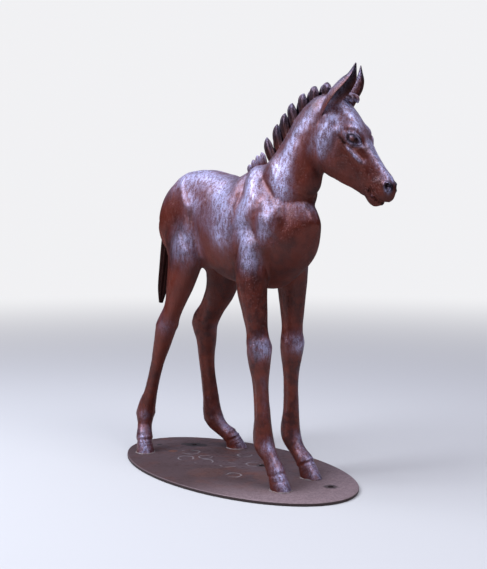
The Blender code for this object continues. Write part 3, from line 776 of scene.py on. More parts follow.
@dataclass
class Leg:
    """One leg with its hoof.

    Attributes:
        name: Which leg it is.
        joints: Middle of each joint from the top down, ten of them, ending at the coronet.
        tread: Middle of the hoof on the ground.
        toe_out: How far the toe points to the left, in degrees.
        hoof_length: Length of the sole.
        hoof_width: Width of the sole.
        hoof: Half width, depth ahead and depth behind at coronet, ground and bottom, as shares of those.
        below: How far the hoof is modelled below the ground before it is cut level.
        highlight_paint: How strongly pale highlight is painted on the front of knee, cannon, fetlock and
            hoof.
        rings: Distance below the coronet, radius and height of the rings round the hoof.
    """

    name: str
    joints: tuple[Point, ...]
    tread: Point
    toe_out: float
    hoof_length: float = 6.4
    hoof_width: float = 5.6
    hoof: tuple[Row, ...] = ((0.44, 0.42, 0.38), (0.52, 0.50, 0.50), (0.55, 0.53, 0.53))
    below: float = 2.0
    highlight_paint: Row = (1.3, 0.1, 0.8, 0.8)
    rings: tuple[Row, ...] = ((0.3, 0.55, 0.12), (1.0, 0.45, -0.14), (2.2, 0.35, -0.05), (3.2, 0.35, -0.05))

    def stations(self) -> list[Row]:
        """Returns the leg's sections from the top to the coronet."""
        raise NotImplementedError

    def shape(self, clay: Clay) -> None:
        """Adds the leg and its hoof to the clay.

        Args:
            clay: The clay.
        """
        clay.loft(self.stations(), (1, 0, 0), rings=64, sides=26)
        coronet, tread = Vector(self.joints[-1]), Vector(self.tread)
        lower = tread + (tread - coronet) * (self.below / coronet.z)
        rows = []
        for place, (wide, front, back) in zip((coronet, tread, lower), self.hoof):
            rows.append((*place, self.hoof_width * wide, self.hoof_length * front, self.hoof_length * back,
                         self.toe_out))
        clay.loft(rows, (1, 0, 0), rings=10, sides=28)

    def hoof_rings(self) -> list[Stroke]:
        """Lists the coronet's swelling and the growth rings of the hoof.

        Returns:
            The strokes.
        """
        coronet = Vector(self.joints[-1])
        tilt = (Vector(self.tread) - coronet).normalized()
        forward = Vector(self.beside((0, 0, 0), 1.0, 0.0))
        forward = (forward - tilt * forward.dot(tilt)).normalized()
        across = tilt.cross(forward)
        made = []
        for lift, radius, height in self.rings:
            oval = ring(coronet + tilt * lift, forward * 2.9, across * 2.7, 12)
            made.append(Stroke(tuple(oval), radius, height))
        return made

    def beside(self, centre: Sequence[float], ahead: float, outward: float) -> Point:
        """Finds a point near the leg, with the directions turned as the toe is.

        Args:
            centre: A point of the leg.
            ahead: How far ahead of it.
            outward: How far to its left.

        Returns:
            The point.
        """
        turn = math.radians(self.toe_out)
        forward = Vector((math.cos(turn), math.sin(turn), 0.0))
        across = Vector((-math.sin(turn), math.cos(turn), 0.0))
        return tuple(Vector(centre) + forward * ahead + across * outward)

    def details(self) -> list[Stroke]:
        """Lists tendons, fetlock and coronet, which all four legs share.

        Returns:
            The strokes.
        """
        cannon, low, fetlock, pastern = self.joints[5:9]
        strokes = []
        for side in (1.0, -1.0):
            run = [blend(cannon, low, share) for share in (0.0, 0.5, 1.0)]
            strokes.append(Stroke(tuple(self.beside(point, -0.5, 2.2 * side) for point in run), 0.6, -0.30))
            strokes.append(Stroke((self.beside(fetlock, -0.4, 2.8 * side),), 1.1, 0.25))
            strokes.append(Stroke((self.beside(pastern, -1.4, 1.9 * side),), 0.8, -0.22))
        strokes.append(Stroke((self.beside(blend(low, fetlock, 0.8), 2.6, 0.0),), 1.0, 0.15))
        strokes.append(Stroke((self.beside(fetlock, -3.0, 0.0),), 0.9, 0.25))
        return strokes + self.hoof_rings()

    def painted_highlights(self) -> list[Stroke]:
        """Lists the painted pale highlights on the front of knee, cannon, fetlock and hoof.

        Returns:
            The strokes; their heights are strengths.
        """
        outward = math.copysign(0.6, self.tread[1])
        front = [self.beside(point, 2.6, outward) for point in self.joints[4:]]
        knee, cannon, fetlock, hoof = self.highlight_paint
        return [
            Stroke((front[0],), 2.6, knee),
            Stroke(tuple(front[1:3]), 1.0, cannon),
            Stroke((front[3],), 1.5, fetlock),
            Stroke((front[5], self.beside(self.tread, 2.6, 0.0)), 1.6, hoof),
        ]


class ForeLeg(Leg):
    """A foreleg; its third to sixth joints are arm, forearm, knee and below the knee."""

    def stations(self) -> list[Row]:
        """Lays out the foreleg.

        Returns:
            Its sections.
        """
        shoulder, elbow, arm, forearm, knee, below_knee, cannon, fetlock, pastern, coronet = self.joints
        out = self.toe_out
        return [
            (*shoulder, 3.4, 5.5, 6.0, 0),
            (*elbow, 4.0, 5.8, 5.6, 0),
            (*arm, 4.2, 5.2, 5.0, 0),
            (*forearm, 3.5, 3.9, 3.9, out * 0.5),
            (*blend(forearm, knee, 0.55), 3.2, 3.3, 3.1, out),
            (*knee, 3.7, 3.8, 3.5, out),
            (*blend(knee, below_knee, 0.6), 3.2, 3.0, 3.1, out),
            (*below_knee, 2.5, 2.5, 2.9, out),
            (*cannon, 2.3, 2.4, 2.8, out),
            (*fetlock, 2.9, 3.0, 3.3, out),
            (*pastern, 2.3, 2.3, 2.5, out),
            (*coronet, 2.7, 2.8, 2.6, out),
        ]

    def details(self) -> list[Stroke]:
        """Adds the forearm's muscles and the knee's bones to what all legs share.

        Returns:
            The strokes.
        """
        arm, forearm, knee, below_knee = self.joints[2:6]
        above, under = blend(forearm, knee, 0.72), blend(knee, below_knee, 0.45)
        strokes = super().details()
        for side in (1.0, -1.0):
            muscle = (self.beside(arm, -1.2, 4.0 * side), self.beside(forearm, -0.8, 3.4 * side),
                      self.beside(above, -0.6, 3.0 * side))
            over_knee = (self.beside(above, 2.2, 1.8 * side), self.beside(above, 2.2, 0.4 * side))
            under_knee = (self.beside(under, 2.4, 1.6 * side), self.beside(under, 2.4, 0.3 * side))
            strokes += [
                Stroke(muscle, 0.8, -0.30),
                Stroke((self.beside(knee, 1.6, 3.2 * side),), 1.3, 0.22),
                Stroke((self.beside(knee, -1.6, 3.3 * side),), 1.0, -0.25),
                Stroke(over_knee, 0.7, -0.14),
                Stroke(under_knee, 0.7, -0.16),
            ]
        strokes.append(Stroke((self.beside(blend(knee, below_knee, 0.1), -3.2, 0.0),), 1.1, 0.30))
        return strokes


class HindLeg(Leg):
    """A hind leg; its third to sixth joints are gaskin, above the hock, hock and cannon."""

    def stations(self) -> list[Row]:
        """Lays out the hind leg.

        Returns:
            Its sections.
        """
        hip, stifle, gaskin, above_hock, hock, cannon, low_cannon, fetlock, pastern, coronet = self.joints
        out = self.toe_out
        return [
            (*hip, 4.4, 7.5, 9.0, 0),
            (*stifle, 4.8, 7.8, 8.2, out * 0.2),
            (*gaskin, 4.1, 5.4, 5.6, out * 0.4),
            (*above_hock, 3.0, 3.7, 4.6, out * 0.7),
            (*hock, 3.4, 3.5, 5.4, out),
            (*blend(hock, cannon, 0.5), 2.9, 3.2, 3.8, out),
            (*cannon, 2.3, 2.7, 3.0, out),
            (*low_cannon, 2.3, 2.6, 2.9, out),
            (*fetlock, 3.0, 3.0, 3.4, out),
            (*pastern, 2.4, 2.4, 2.5, out),
            (*coronet, 2.8, 2.8, 2.6, out),
        ]

    def details(self) -> list[Stroke]:
        """Adds the hock and its tendon to what all legs share.

        Returns:
            The strokes.
        """
        gaskin, above, hock, cannon = self.joints[2:6]
        strokes = super().details()
        for side in (1.0, -1.0):
            strokes += [
                Stroke((self.beside(blend(gaskin, above, 0.6), -2.6, 3.0 * side),
                        self.beside(blend(above, hock, 0.55), -2.2, 2.8 * side)), 0.9, -0.38),
                Stroke((self.beside(hock, 1.0, 3.0 * side),), 1.3, 0.24),
                Stroke((self.beside(blend(hock, cannon, 0.3), -1.4, 2.9 * side),), 0.9, -0.22),
            ]
        strokes.append(Stroke((self.beside(hock, -4.6, 0.0),), 1.2, 0.25))
        return strokes


FORE_TOE_OUT = 4.0
HIND_TOE_OUT = 34.0
# Painted highlight strengths on the front of the hind legs.
HIND_HIGHLIGHTS: Row = (0.2, 0.0, 0.4, 0.7)
LEGS = (
    ForeLeg(
        "right_fore",
        ((21.0, -6.5, 72.0), (16.6, -7.6, 66.0), (16.6, -8.6, 58.0), (18.4, -8.8, 49.0), (19.9, -8.7, 39.5),
         (20.6, -8.6, 31.0), (21.4, -8.4, 20.0), (22.2, -8.3, 11.6), (24.8, -8.2, 8.0), (26.9, -8.1, 4.9)),
        (28.9, -8.0, 0.0),
        -FORE_TOE_OUT,
    ),
    ForeLeg(
        "left_fore",
        ((19.0, 6.5, 72.0), (15.8, 7.6, 66.0), (14.4, 8.6, 58.0), (14.4, 8.8, 49.0), (14.6, 8.5, 39.0),
         (14.8, 8.2, 31.0), (15.2, 7.9, 19.0), (15.5, 7.7, 11.0), (18.4, 7.7, 7.2), (21.6, 7.7, 4.4)),
        (24.2, 7.7, 0.0),
        FORE_TOE_OUT,
    ),
    HindLeg(
        "right_hind",
        ((-19.0, -4.5, 76.0), (-18.9, -6.6, 64.0), (-20.6, -7.8, 55.0), (-23.2, -8.6, 47.5),
         (-26.1, -9.1, 42.0), (-30.4, -9.5, 31.0), (-34.6, -10.0, 19.0), (-37.0, -10.4, 12.0),
         (-36.2, -11.3, 8.0), (-34.6, -12.5, 4.6)),
        (-33.2, -13.0, 0.0),
        -HIND_TOE_OUT,
        highlight_paint=HIND_HIGHLIGHTS,
    ),
    HindLeg(
        "left_hind",
        ((-20.0, 4.5, 76.0), (-16.6, 6.6, 64.0), (-19.4, 7.8, 54.0), (-25.1, 8.4, 46.0), (-28.8, 9.0, 41.0),
         (-30.2, 9.8, 30.0), (-29.0, 10.6, 17.0), (-27.6, 11.2, 8.8), (-23.9, 12.2, 5.4), (-21.3, 13.2, 3.8)),
        (-19.6, 14.2, 0.0),
        HIND_TOE_OUT,
        highlight_paint=HIND_HIGHLIGHTS,
    ),
)


@dataclass
class Ears:
    """Both ears, hollow on the side that faces forward.

    Attributes:
        rows: Along, out and across the head, then half width, depth ahead and depth behind.
        length: How far the tip stands out of the head.
        left_laid_back: How much further back the left ear's tip lies.
        left_narrower: Width of the left ear as a share of the right one's.
        scoop: Share of the ear's depth that is hollowed out.
        turned_out: How far the openings are turned away from each other.
    """

    rows: tuple[Row, ...] = (
        (5.2, -2.6, 4.3, 1.5, 1.2, 1.9),
        (4.4, 0.0, 4.7, 1.9, 0.9, 3.0),
        (3.6, 3.4, 4.8, 2.1, 0.7, 3.7),
        (3.1, 6.8, 4.6, 1.9, 0.6, 3.8),
        (2.3, 9.6, 4.3, 1.4, 0.5, 2.9),
        (1.2, 11.6, 4.1, 0.7, 0.3, 1.4),
        (0.2, 13.2, 4.0, 0.2, 0.2, 0.2),
    )
    length: float = 13.2
    left_laid_back: float = 2.2
    left_narrower: float = 0.78
    scoop: float = 0.62
    turned_out: float = math.radians(12.0)

    def ahead(self, side: Side) -> Vector:
        """Returns the direction that an ear's hollow faces."""
        opening = HEAD.turned_left + self.turned_out * side.value
        return Vector((math.cos(opening), math.sin(opening), -0.1))

    def stations(self, side: Side) -> list[Row]:
        """Lays out one ear, each section placed at the rim of its hollow.

        Args:
            side: Which ear.

        Returns:
            Its sections.
        """
        made = []
        laid_back, share = (self.left_laid_back, self.left_narrower) if side is Side.LEFT else (0.0, 1.0)
        for along, out, across, wide, front, behind in self.rows:
            lean = laid_back * max(out, 0.0) / self.length
            middle = HEAD.point(along - lean, out - lean, across * side.value)
            rim = middle + self.ahead(side) * (behind - front) / 2
            made.append((*rim, wide * share, front * share, behind * share, 0))
        return made

    def bodies(self, pattern: Pattern) -> list[Piece]:
        """Makes both ears.

        Args:
            pattern: Where the pattern stands in the frame.

        Returns:
            The ears as closed shapes.
        """
        made = []
        for side in Side:
            clay = Clay()
            clay.loft(self.stations(side), self.ahead(side), rings=34, sides=36, scoop=self.scoop)
            made.append(clay.to_object(f"{side.name.lower()} ear", pattern))
        return made

    def behind(self, side: Side, depth: float) -> list[Point]:
        """Lists points behind the rim of an ear's hollow.

        Args:
            side: Which ear.
            depth: How far behind it, as a share of the ear's depth there.

        Returns:
            A point for each row, from root to tip.
        """
        ahead = self.ahead(side)
        return [tuple(Vector(row[:3]) - ahead * row[5] * depth) for row in self.stations(side)]

    def shaded_hollows(self) -> list[Stroke]:
        """Returns the painted shade in the hollow of each ear; the height is a strength."""
        return [Stroke(tuple(self.behind(side, 0.40)[2:]), 1.35, 1.6) for side in Side]

    def painted_highlights(self) -> list[Stroke]:
        """Returns the painted pale highlight on the back of each ear; the height is a strength."""
        return [Stroke(tuple(self.behind(side, 0.95)[1:6]), 1.5, 0.9) for side in Side]


@dataclass
class Eyes:
    """Eyeballs and the lids around them.

    Attributes:
        centre: Middle of the left eyeball: along, out and across the face.
        radii: The eyeball's half axes.
        back_corner: Where the lids meet behind the eye.
        front_corner: Where they meet in front of it.
        lids: Rise and thickness of the upper and of the lower lid.
        lid_steps: How many lengths a lid is laid out in.
        lid_bulge: How far its middle stands out of the face.
        corner_thickness: Its half thickness in the corners.
    """

    centre: Point = (15.9, 0.6, 2.8)
    radii: Point = (1.7, 1.5, 1.75)
    back_corner: Point = (13.6, -0.3, 4.0)
    front_corner: Point = (18.5, 1.7, 3.0)
    lids: tuple[Spot, ...] = ((1.6, 0.46), (-1.3, 0.40))
    lid_steps: int = 8
    lid_bulge: float = 0.42
    corner_thickness: float = 0.16

    def bodies(self, pattern: Pattern) -> list[Piece]:
        """Makes eyeballs and lids.

        Args:
            pattern: Where the pattern stands in the frame.

        Returns:
            Eyeballs and lids as closed shapes.
        """
        made = []
        for side in Side:
            clay = Clay()
            along, out, across = self.centre
            clay.lump(HEAD.point(along, out, across * side.value), self.radii, HEAD.turn(), 16)
            made.append(clay.to_object(f"{side.name.lower()} eyeball", pattern))
            for rise, thickness in self.lids:
                clay = Clay()
                clay.loft(self.lid(side, rise, thickness), HEAD.axes[2], rings=22, sides=12)
                made.append(clay.to_object(f"{side.name.lower()} lid {rise}", pattern))
        return made

    def lid(self, side: Side, rise: float, thickness: float) -> list[Row]:
        """Lays out one lid, which bows up or down between the corners of the eye.

        Args:
            side: Which eye.
            rise: How far its middle stands above the corners.
            thickness: Its half thickness in the middle.

        Returns:
            Its sections.
        """
        rows = []
        for step in range(self.lid_steps + 1):
            share = step / self.lid_steps
            bow = math.sin(math.pi * share)
            along, out, across = blend(self.back_corner, self.front_corner, share)
            across += self.lid_bulge * bow
            place = HEAD.point(along - 0.35 * rise * bow, out + 0.9 * rise * bow, across * side.value)
            thick = self.corner_thickness + (thickness - self.corner_thickness) * bow
            rows.append((*place, thick, thick, thick, 0))
        return rows

    def painted_highlights(self) -> list[Stroke]:
        """Returns the painted pale highlights on the edges of the lids; the heights are strengths."""
        return [
            Stroke(tuple(row[:3] for row in self.lid(side, rise, thickness)), 0.55, 1.0)
            for side in Side
            for rise, thickness in self.lids
        ]


@dataclass(frozen=True)
class Lock:
    """One lock of hair.

    Attributes:
        root: Where it grows.
        tip: Where it ends.
        bow: How far and which way its middle is bent.
        half_width: Half its width.
    """

    root: Vector
    tip: Vector
    bow: Vector
    half_width: float

    def at(self, share: float) -> Vector:
        """Returns the point at a share of its length."""
        return self.root.lerp(self.tip, share) + self.bow * math.sin(math.pi * share)

    def upper(self, start: float, strength: float) -> Stroke:
        """Returns a stroke from a share of its length to its tip."""
        return Stroke((tuple(self.root.lerp(self.tip, start)), tuple(self.tip)), self.half_width, strength)


@dataclass
class Mane:
    """The short upright mane, the tufts on the withers and the forelock.

    Attributes:
        crest: Points of the neck's crest from the withers to the poll.
        locks: How many locks stand on it.
        longest: Length of the lowest lock.
        shortest: Length of the lock at the poll.
        half_width: Half width of a lock.
        rooted: How deep its root lies in the neck.
        swing: How far its tip swings aside.
        bow: How far it is bent away from the neck.
        tufts: Place along, height and length of each tuft on the withers.
        tuft_half_width: Half width of a tuft.
        forelock: Across, out and length of each lock of the forelock.
        forelock_half_width: Half width of such a lock.
        swelling: Share of the length and of the width there.
        flatness: Thickness of a lock as a share of its width.
        strands: Its grooves.
    """

    crest: tuple[Point, ...] = (
        (16.4, 0.3, 91.8), (19.0, 0.5, 96.2), (21.8, 1.0, 100.2), (24.6, 1.6, 103.6), (28.0, 2.5, 106.8),
        (31.0, 3.2, 108.6), (34.4, 3.9, 109.6),
    )
    locks: int = 13
    longest: float = 8.4
    shortest: float = 4.0
    half_width: float = 1.7
    rooted: float = 1.6
    swing: float = 1.8
    bow: float = 1.3
    tufts: tuple[Row, ...] = ((12.2, 91.6, 4.0), (9.9, 91.2, 3.6), (7.8, 90.4, 3.2), (5.8, 89.4, 2.8))
    tuft_half_width: float = 1.15
    forelock: tuple[Row, ...] = ((-0.6, 0.0, 3.4), (0.7, 0.5, 3.8), (1.9, 0.1, 3.2))
    forelock_half_width: float = 1.0
    swelling: tuple[Spot, ...] = ((0.0, 0.9), (0.3, 1.0), (0.52, 1.0), (0.72, 0.84), (0.88, 0.52), (1.0, 0.1))
    flatness: float = 0.66
    strands: Strands = Strands(5, 0.30, 1.2)

    def crest_locks(self) -> list[Lock]:
        """Lays out the locks along the crest of the neck.

        Returns:
            The locks from the withers to the poll.
        """
        up, left = Vector((0.0, 0.0, 1.0)), Vector((0.0, 1.0, 0.0))
        line = spread(self.crest, 60)
        made = []
        for number in range(self.locks):
            share = number / (self.locks - 1)
            at = share * (len(line) - 1)
            low = min(int(at), len(line) - 2)
            root = Vector(blend(line[low], line[low + 1], at - low))
            along = Vector(line[low + 1] - line[low]).normalized()
            away = along.cross(left).normalized()
            side = left * (0.5 if number % 2 else -0.5)
            back = away * (0.15 if number % 3 else 0.5) * (1.0 - share)
            rise = (up + back + along * 0.4 * share).normalized()
            length = self.longest + (self.shortest - self.longest) * share
            tip = root + rise * length + side * self.swing
            made.append(Lock(root - away * self.rooted + side, tip, away * self.bow, self.half_width))
        return made

    def tuft_locks(self) -> list[Lock]:
        """Lays out the tufts on the withers.

        Returns:
            The tufts from front to back.
        """
        made = []
        for x, z, length in self.tufts:
            root = Vector((x, 0.0, z))
            tip = root + Vector((-0.45, 0.0, 1.0)) * length
            made.append(Lock(root, tip, Vector((0.0, 0.0, 0.2)), self.tuft_half_width))
        return made

    def forelock_locks(self) -> list[Lock]:
        """Lays out the forelock.

        Returns:
            Its locks from right to left.
        """
        made = []
        for across, out, length in self.forelock:
            root = HEAD.point(3.2, 3.0 + out, across)
            tip = HEAD.point(3.2 + length, 4.9 + out, across * 1.3)
            made.append(Lock(root, tip, HEAD.axes[1] * 1.2, self.forelock_half_width))
        return made

    def bodies(self, pattern: Pattern) -> list[Piece]:
        """Makes every lock.

        Args:
            pattern: Where the pattern stands in the frame.

        Returns:
            The locks as closed shapes.
        """
        made = []
        locks = [*self.crest_locks(), *self.tuft_locks(), *self.forelock_locks()]
        for number, lock in enumerate(locks):
            rows = []
            for share, full in self.swelling:
                wide = lock.half_width * full
                rows.append((*lock.at(share), wide, wide * self.flatness, wide * self.flatness, 0))
            clay = Clay()
            clay.loft(rows, (0.0, 1.0, 0.0), rings=18, sides=30, strands=self.strands)
            made.append(clay.to_object(f"lock {number + 1}", pattern))
        return made

    def hair(self) -> list[Stroke]:
        """Lists where the iron is dark with hair.

        Returns:
            The strokes; their heights are strengths.
        """
        made = []
        for lock in self.crest_locks():
            path = tuple(tuple(lock.at(share)) for share in (0.35, 0.6, 0.8, 1.0))
            made.append(Stroke(path, lock.half_width * 0.9, 0.95))
        return made

    def painted_highlights(self) -> list[Stroke]:
        """Lists the painted pale highlights on the tufts on the withers, the forelock and the tips of the
        locks.

        Returns:
            The strokes; their heights are strengths.
        """
        pale = [lock.upper(0.5, 0.8) for lock in (*self.tuft_locks(), *self.forelock_locks())]
        return pale + [lock.upper(0.8, 0.4) for lock in self.crest_locks()]


@dataclass
class Tail:
    """The short tail that hangs behind the buttocks.

    Attributes:
        stations: Sections from the root to the tip.
        strands: Its grooves.
    """

    stations: tuple[Row, ...] = (
        (-31.0, 0, 84.5, 2.2, 2.0, 2.0, 0),
        (-34.8, 0, 83.0, 2.1, 1.9, 1.8, 0),
        (-37.2, 0, 78.6, 2.0, 1.9, 1.8, 0),
        (-38.7, 0, 70.0, 2.2, 1.9, 1.9, 0),
        (-40.5, 0, 60.0, 2.1, 1.8, 1.8, 0),
        (-42.2, 0, 52.0, 1.6, 1.5, 1.5, 0),
        (-43.2, 0, 47.6, 0.7, 0.7, 0.7, 0),
    )
    strands: Strands = Strands(7, 0.24, 2.4)

    def bodies(self, pattern: Pattern) -> list[Piece]:
        """Makes the tail.

        Args:
            pattern: Where the pattern stands in the frame.

        Returns:
            The tail as a closed shape.
        """
        clay = Clay()
        clay.loft(self.stations, (-1, 0, 0.2), rings=70, sides=42, strands=self.strands)
        return [clay.to_object("tail", pattern)]

    def hair(self) -> list[Stroke]:
        """Returns where the iron is dark with hair."""
        return [Stroke(tuple(row[:3] for row in self.stations[2:]), 2.6, 1.6)]


Socket = bpy.types.NodeSocket
Value = Socket | float | tuple[float, ...]
Inputs = dict[str | int, Value]


class Wiring:
    """Adds nodes to one shader tree and links them."""

    def __init__(self, tree: Tree) -> None:
        """Keeps the tree that the nodes go into."""
        self.tree = tree

    def feed(self, node: Node, inputs: Inputs) -> Node:
        """Fills a node's inputs.

        Args:
            node: The node.
            inputs: What goes into each of them: a socket to link, or a value.

        Returns:
            The same node.
        """
        for key, value in inputs.items():
            if isinstance(value, Socket):
                self.tree.links.new(value, node.inputs[key])
            else:
                node.inputs[key].default_value = value
        return node

    def add(self, kind: str, inputs: Inputs | None = None, **settings: object) -> Node:
        """Adds a node.

        Args:
            kind: The node's type name.
            inputs: What goes into its inputs.
            settings: The node's own properties.

        Returns:
            The new node.
        """
        node = self.tree.nodes.new(kind)
        for key, value in settings.items():
            setattr(node, key, value)
        return self.feed(node, inputs or {})

    def noise(self, vector: Socket, scale: Value, detail: float = 4.0, roughness: float = 0.55) -> Socket:
        """Returns a cloud pattern between 0 and 1."""
        inputs = {"Vector": vector, "Scale": scale, "Detail": detail, "Roughness": roughness}
        return self.add("ShaderNodeTexNoise", inputs).outputs["Fac"]

    def span(self, value: Socket, low: float, high: float, bottom: float = 0.0, top: float = 1.0) -> Socket:
        """Returns the value taken from low..high to bottom..top with soft ends."""
        inputs = {"Value": value, "From Min": low, "From Max": high, "To Min": bottom, "To Max": top}
        return self.add("ShaderNodeMapRange", inputs, interpolation_type="SMOOTHSTEP").outputs["Result"]

    def sum(self, first: Value, second: Value) -> Socket:
        """Returns first plus second."""
        return self.figure("ADD", first, second)

    def times(self, first: Value, second: Value) -> Socket:
        """Returns first times second, kept between 0 and 1."""
        return self.figure("MULTIPLY", first, second, clamp=True)

    def stretch(self, vector: Socket, shares: Point) -> Socket:
        """Returns a place with each of its three numbers taken times a share."""
        inputs = {0: vector, 1: shares}
        return self.add("ShaderNodeVectorMath", inputs, operation="MULTIPLY").outputs["Vector"]

    def away(self, vector: Socket, centre: Value = (0.0, 0.0, 0.0)) -> Socket:
        """Returns how far a place lies from a centre."""
        inputs = {0: vector, 1: centre}
        return self.add("ShaderNodeVectorMath", inputs, operation="DISTANCE").outputs["Value"]

    def part(self, vector: Socket, axis: str) -> Socket:
        """Returns the X, Y or Z of a vector."""
        return self.add("ShaderNodeSeparateXYZ", {0: vector}).outputs[axis]

    def upward(self) -> Socket:
        """Returns how far the surface looks up, from -1 to 1."""
        return self.part(self.add("ShaderNodeNewGeometry").outputs["Normal"], "Z")

    def bump(self, height: Socket, strength: float, depth: float) -> Socket:
        """Returns the normal of a surface with this relief, depth in metres."""
        inputs = {"Strength": strength, "Distance": depth, "Height": height}
        return self.add("ShaderNodeBump", inputs).outputs["Normal"]

    def mix(self, share: Value, first: Value, second: Value) -> Socket:
        """Returns a colour between first and second."""
        return self.add("ShaderNodeMix", {0: share, 6: first, 7: second}, data_type="RGBA").outputs[2]

    def level(self, share: Value, first: Value, second: Value) -> Socket:
        """Returns a number between first and second."""
        return self.add("ShaderNodeMix", {0: share, 2: first, 3: second}, data_type="FLOAT").outputs[0]

    def mark(self, name: str) -> Socket:
        """Returns a mask that the mesh carries."""
        return self.add("ShaderNodeAttribute", attribute_name=name).outputs["Fac"]

    def place(self) -> Socket:
        """Returns the place on the piece, in metres."""
        return self.add("ShaderNodeTexCoord").outputs["Object"]

    def group(self, tree: Tree, inputs: Inputs) -> Node:
        """Returns a new use of a shared group."""
        return self.add("ShaderNodeGroup", inputs, node_tree=tree)

    def figure(self, operation: str, first: Value, second: Value, clamp: bool = False) -> Socket:
        """Returns what one operation makes of two numbers."""
        inputs = {0: first, 1: second}
        return self.add("ShaderNodeMath", inputs, operation=operation, use_clamp=clamp).outputs[0]


class Effects:
    """The effects that more than one finish uses, each a shared node group."""

    def __init__(self) -> None:
        """Builds every group once."""
        self.cast_skin = self.make_cast_skin()
        self.blotches = self.make_blotches()
        self.spot = self.make_spot()
        self.crescent = self.make_crescent()

    @staticmethod
    def begin(name: str, inputs: Sequence[str], outputs: Sequence[str]) -> tuple[Wiring, dict[str, Socket]]:
        """Starts a group.

        Args:
            name: The group's name.
            inputs: Name of each input.
            outputs: Name of each output.

        Returns:
            The wiring of the group and its input sockets by name.
        """
        tree = bpy.data.node_groups.new(name, "ShaderNodeTree")
        for direction, labels in (("INPUT", inputs), ("OUTPUT", outputs)):
            for label in labels:
                kind = "NodeSocketVector" if label in ("Vector", "Centre") else "NodeSocketFloat"
                tree.interface.new_socket(name=label, in_out=direction, socket_type=kind)
        wiring = Wiring(tree)
        given = wiring.add("NodeGroupInput").outputs
        return wiring, {label: given[label] for label in inputs}

    def blotched(self, wiring: Wiring, place: Socket, scale: float, cover: float) -> Socket:
        """Returns the blotches' mask inside a finish; more cover makes them larger."""
        inputs = {"Vector": place, "Scale": scale, "Cover": cover}
        return wiring.group(self.blotches, inputs).outputs["Mask"]

    def make_cast_skin(self) -> Tree:
        """Makes the pitted skin of sand-cast iron: its height and a mask of its grains.

        Returns:
            The group.
        """
        wiring, given = self.begin("cast skin", ("Vector", "Pits"), ("Height", "Grain"))
        place = given["Vector"]
        fine = wiring.noise(place, 300.0, 4.0, 0.65)
        peel = wiring.noise(wiring.stretch(place, (1.0, 1.0, 0.35)), 130.0, 3.0, 0.6)
        broad = wiring.noise(place, 34.0, 3.0, 0.5)
        pits = wiring.span(wiring.noise(place, 210.0, 2.0, 0.5), 0.30, 0.44)
        height = wiring.sum(wiring.times(fine, 0.22), wiring.times(peel, 0.40))
        height = wiring.sum(height, wiring.times(broad, 0.38))
        pitted = wiring.sum(height, wiring.times(wiring.times(pits, given["Pits"]), 0.45))
        grain = wiring.span(wiring.sum(wiring.times(fine, 0.50), wiring.times(peel, 0.50)), 0.42, 0.58)
        wiring.add("NodeGroupOutput", {"Height": pitted, "Grain": grain})
        return wiring.tree

    def begin_round(self, name: str) -> tuple[Wiring, Socket, Socket]:
        """Starts a group that masks something round a centre.

        Args:
            name: The group's name.

        Returns:
            Its wiring, the place, and how far that is from the centre as a share of the radius.
        """
        wiring, given = self.begin(name, ("Vector", "Centre", "Radius"), ("Mask",))
        away = wiring.away(given["Vector"], given["Centre"])
        return wiring, given["Vector"], wiring.figure("DIVIDE", away, given["Radius"])

    def make_blotches(self) -> Tree:
        """Makes a mask of uneven blotches, such as rust coming through.

        Returns:
            The group.
        """
        wiring, given = self.begin("blotches", ("Vector", "Scale", "Cover"), ("Mask",))
        cloud = wiring.noise(given["Vector"], given["Scale"], 6.0, 0.62)
        wiring.add("NodeGroupOutput", {"Mask": wiring.span(wiring.sum(cloud, given["Cover"]), 0.42, 0.66)})
        return wiring.tree

    def make_spot(self) -> Tree:
        """Makes the mask of one ragged spot round a centre.

        Returns:
            The group.
        """
        wiring, place, share = self.begin_round("spot")
        ragged = wiring.sum(share, wiring.times(wiring.noise(place, 90.0, 4.0, 0.6), 0.7))
        wiring.add("NodeGroupOutput", {"Mask": wiring.span(ragged, 1.45, 1.15)})
        return wiring.tree

    def make_crescent(self) -> Tree:
        """Makes the mask of a thin scratch that runs part of the way round a centre.

        Returns:
            The group.
        """
        wiring, place, share = self.begin_round("crescent")
        ragged = wiring.sum(share, wiring.times(wiring.noise(place, 30.0, 2.0, 0.5), 0.9))
        off = wiring.figure("ABSOLUTE", wiring.figure("SUBTRACT", ragged, 1.45), 0.0)
        broken = wiring.span(wiring.noise(place, 22.0, 1.0, 0.5), 0.44, 0.52)
        wiring.add("NodeGroupOutput", {"Mask": wiring.times(wiring.span(off, 0.13, 0.05), broken)})
        return wiring.tree


def begin_finish(name: str) -> tuple[Material, Wiring, Node]:
    """Starts a finish.

    Args:
        name: The material's name.

    Returns:
        The material, the wiring of its nodes and its Principled shader.
    """
    made = bpy.data.materials.new(name)
    made.use_nodes = True
    return made, Wiring(made.node_tree), made.node_tree.nodes["Principled BSDF"]


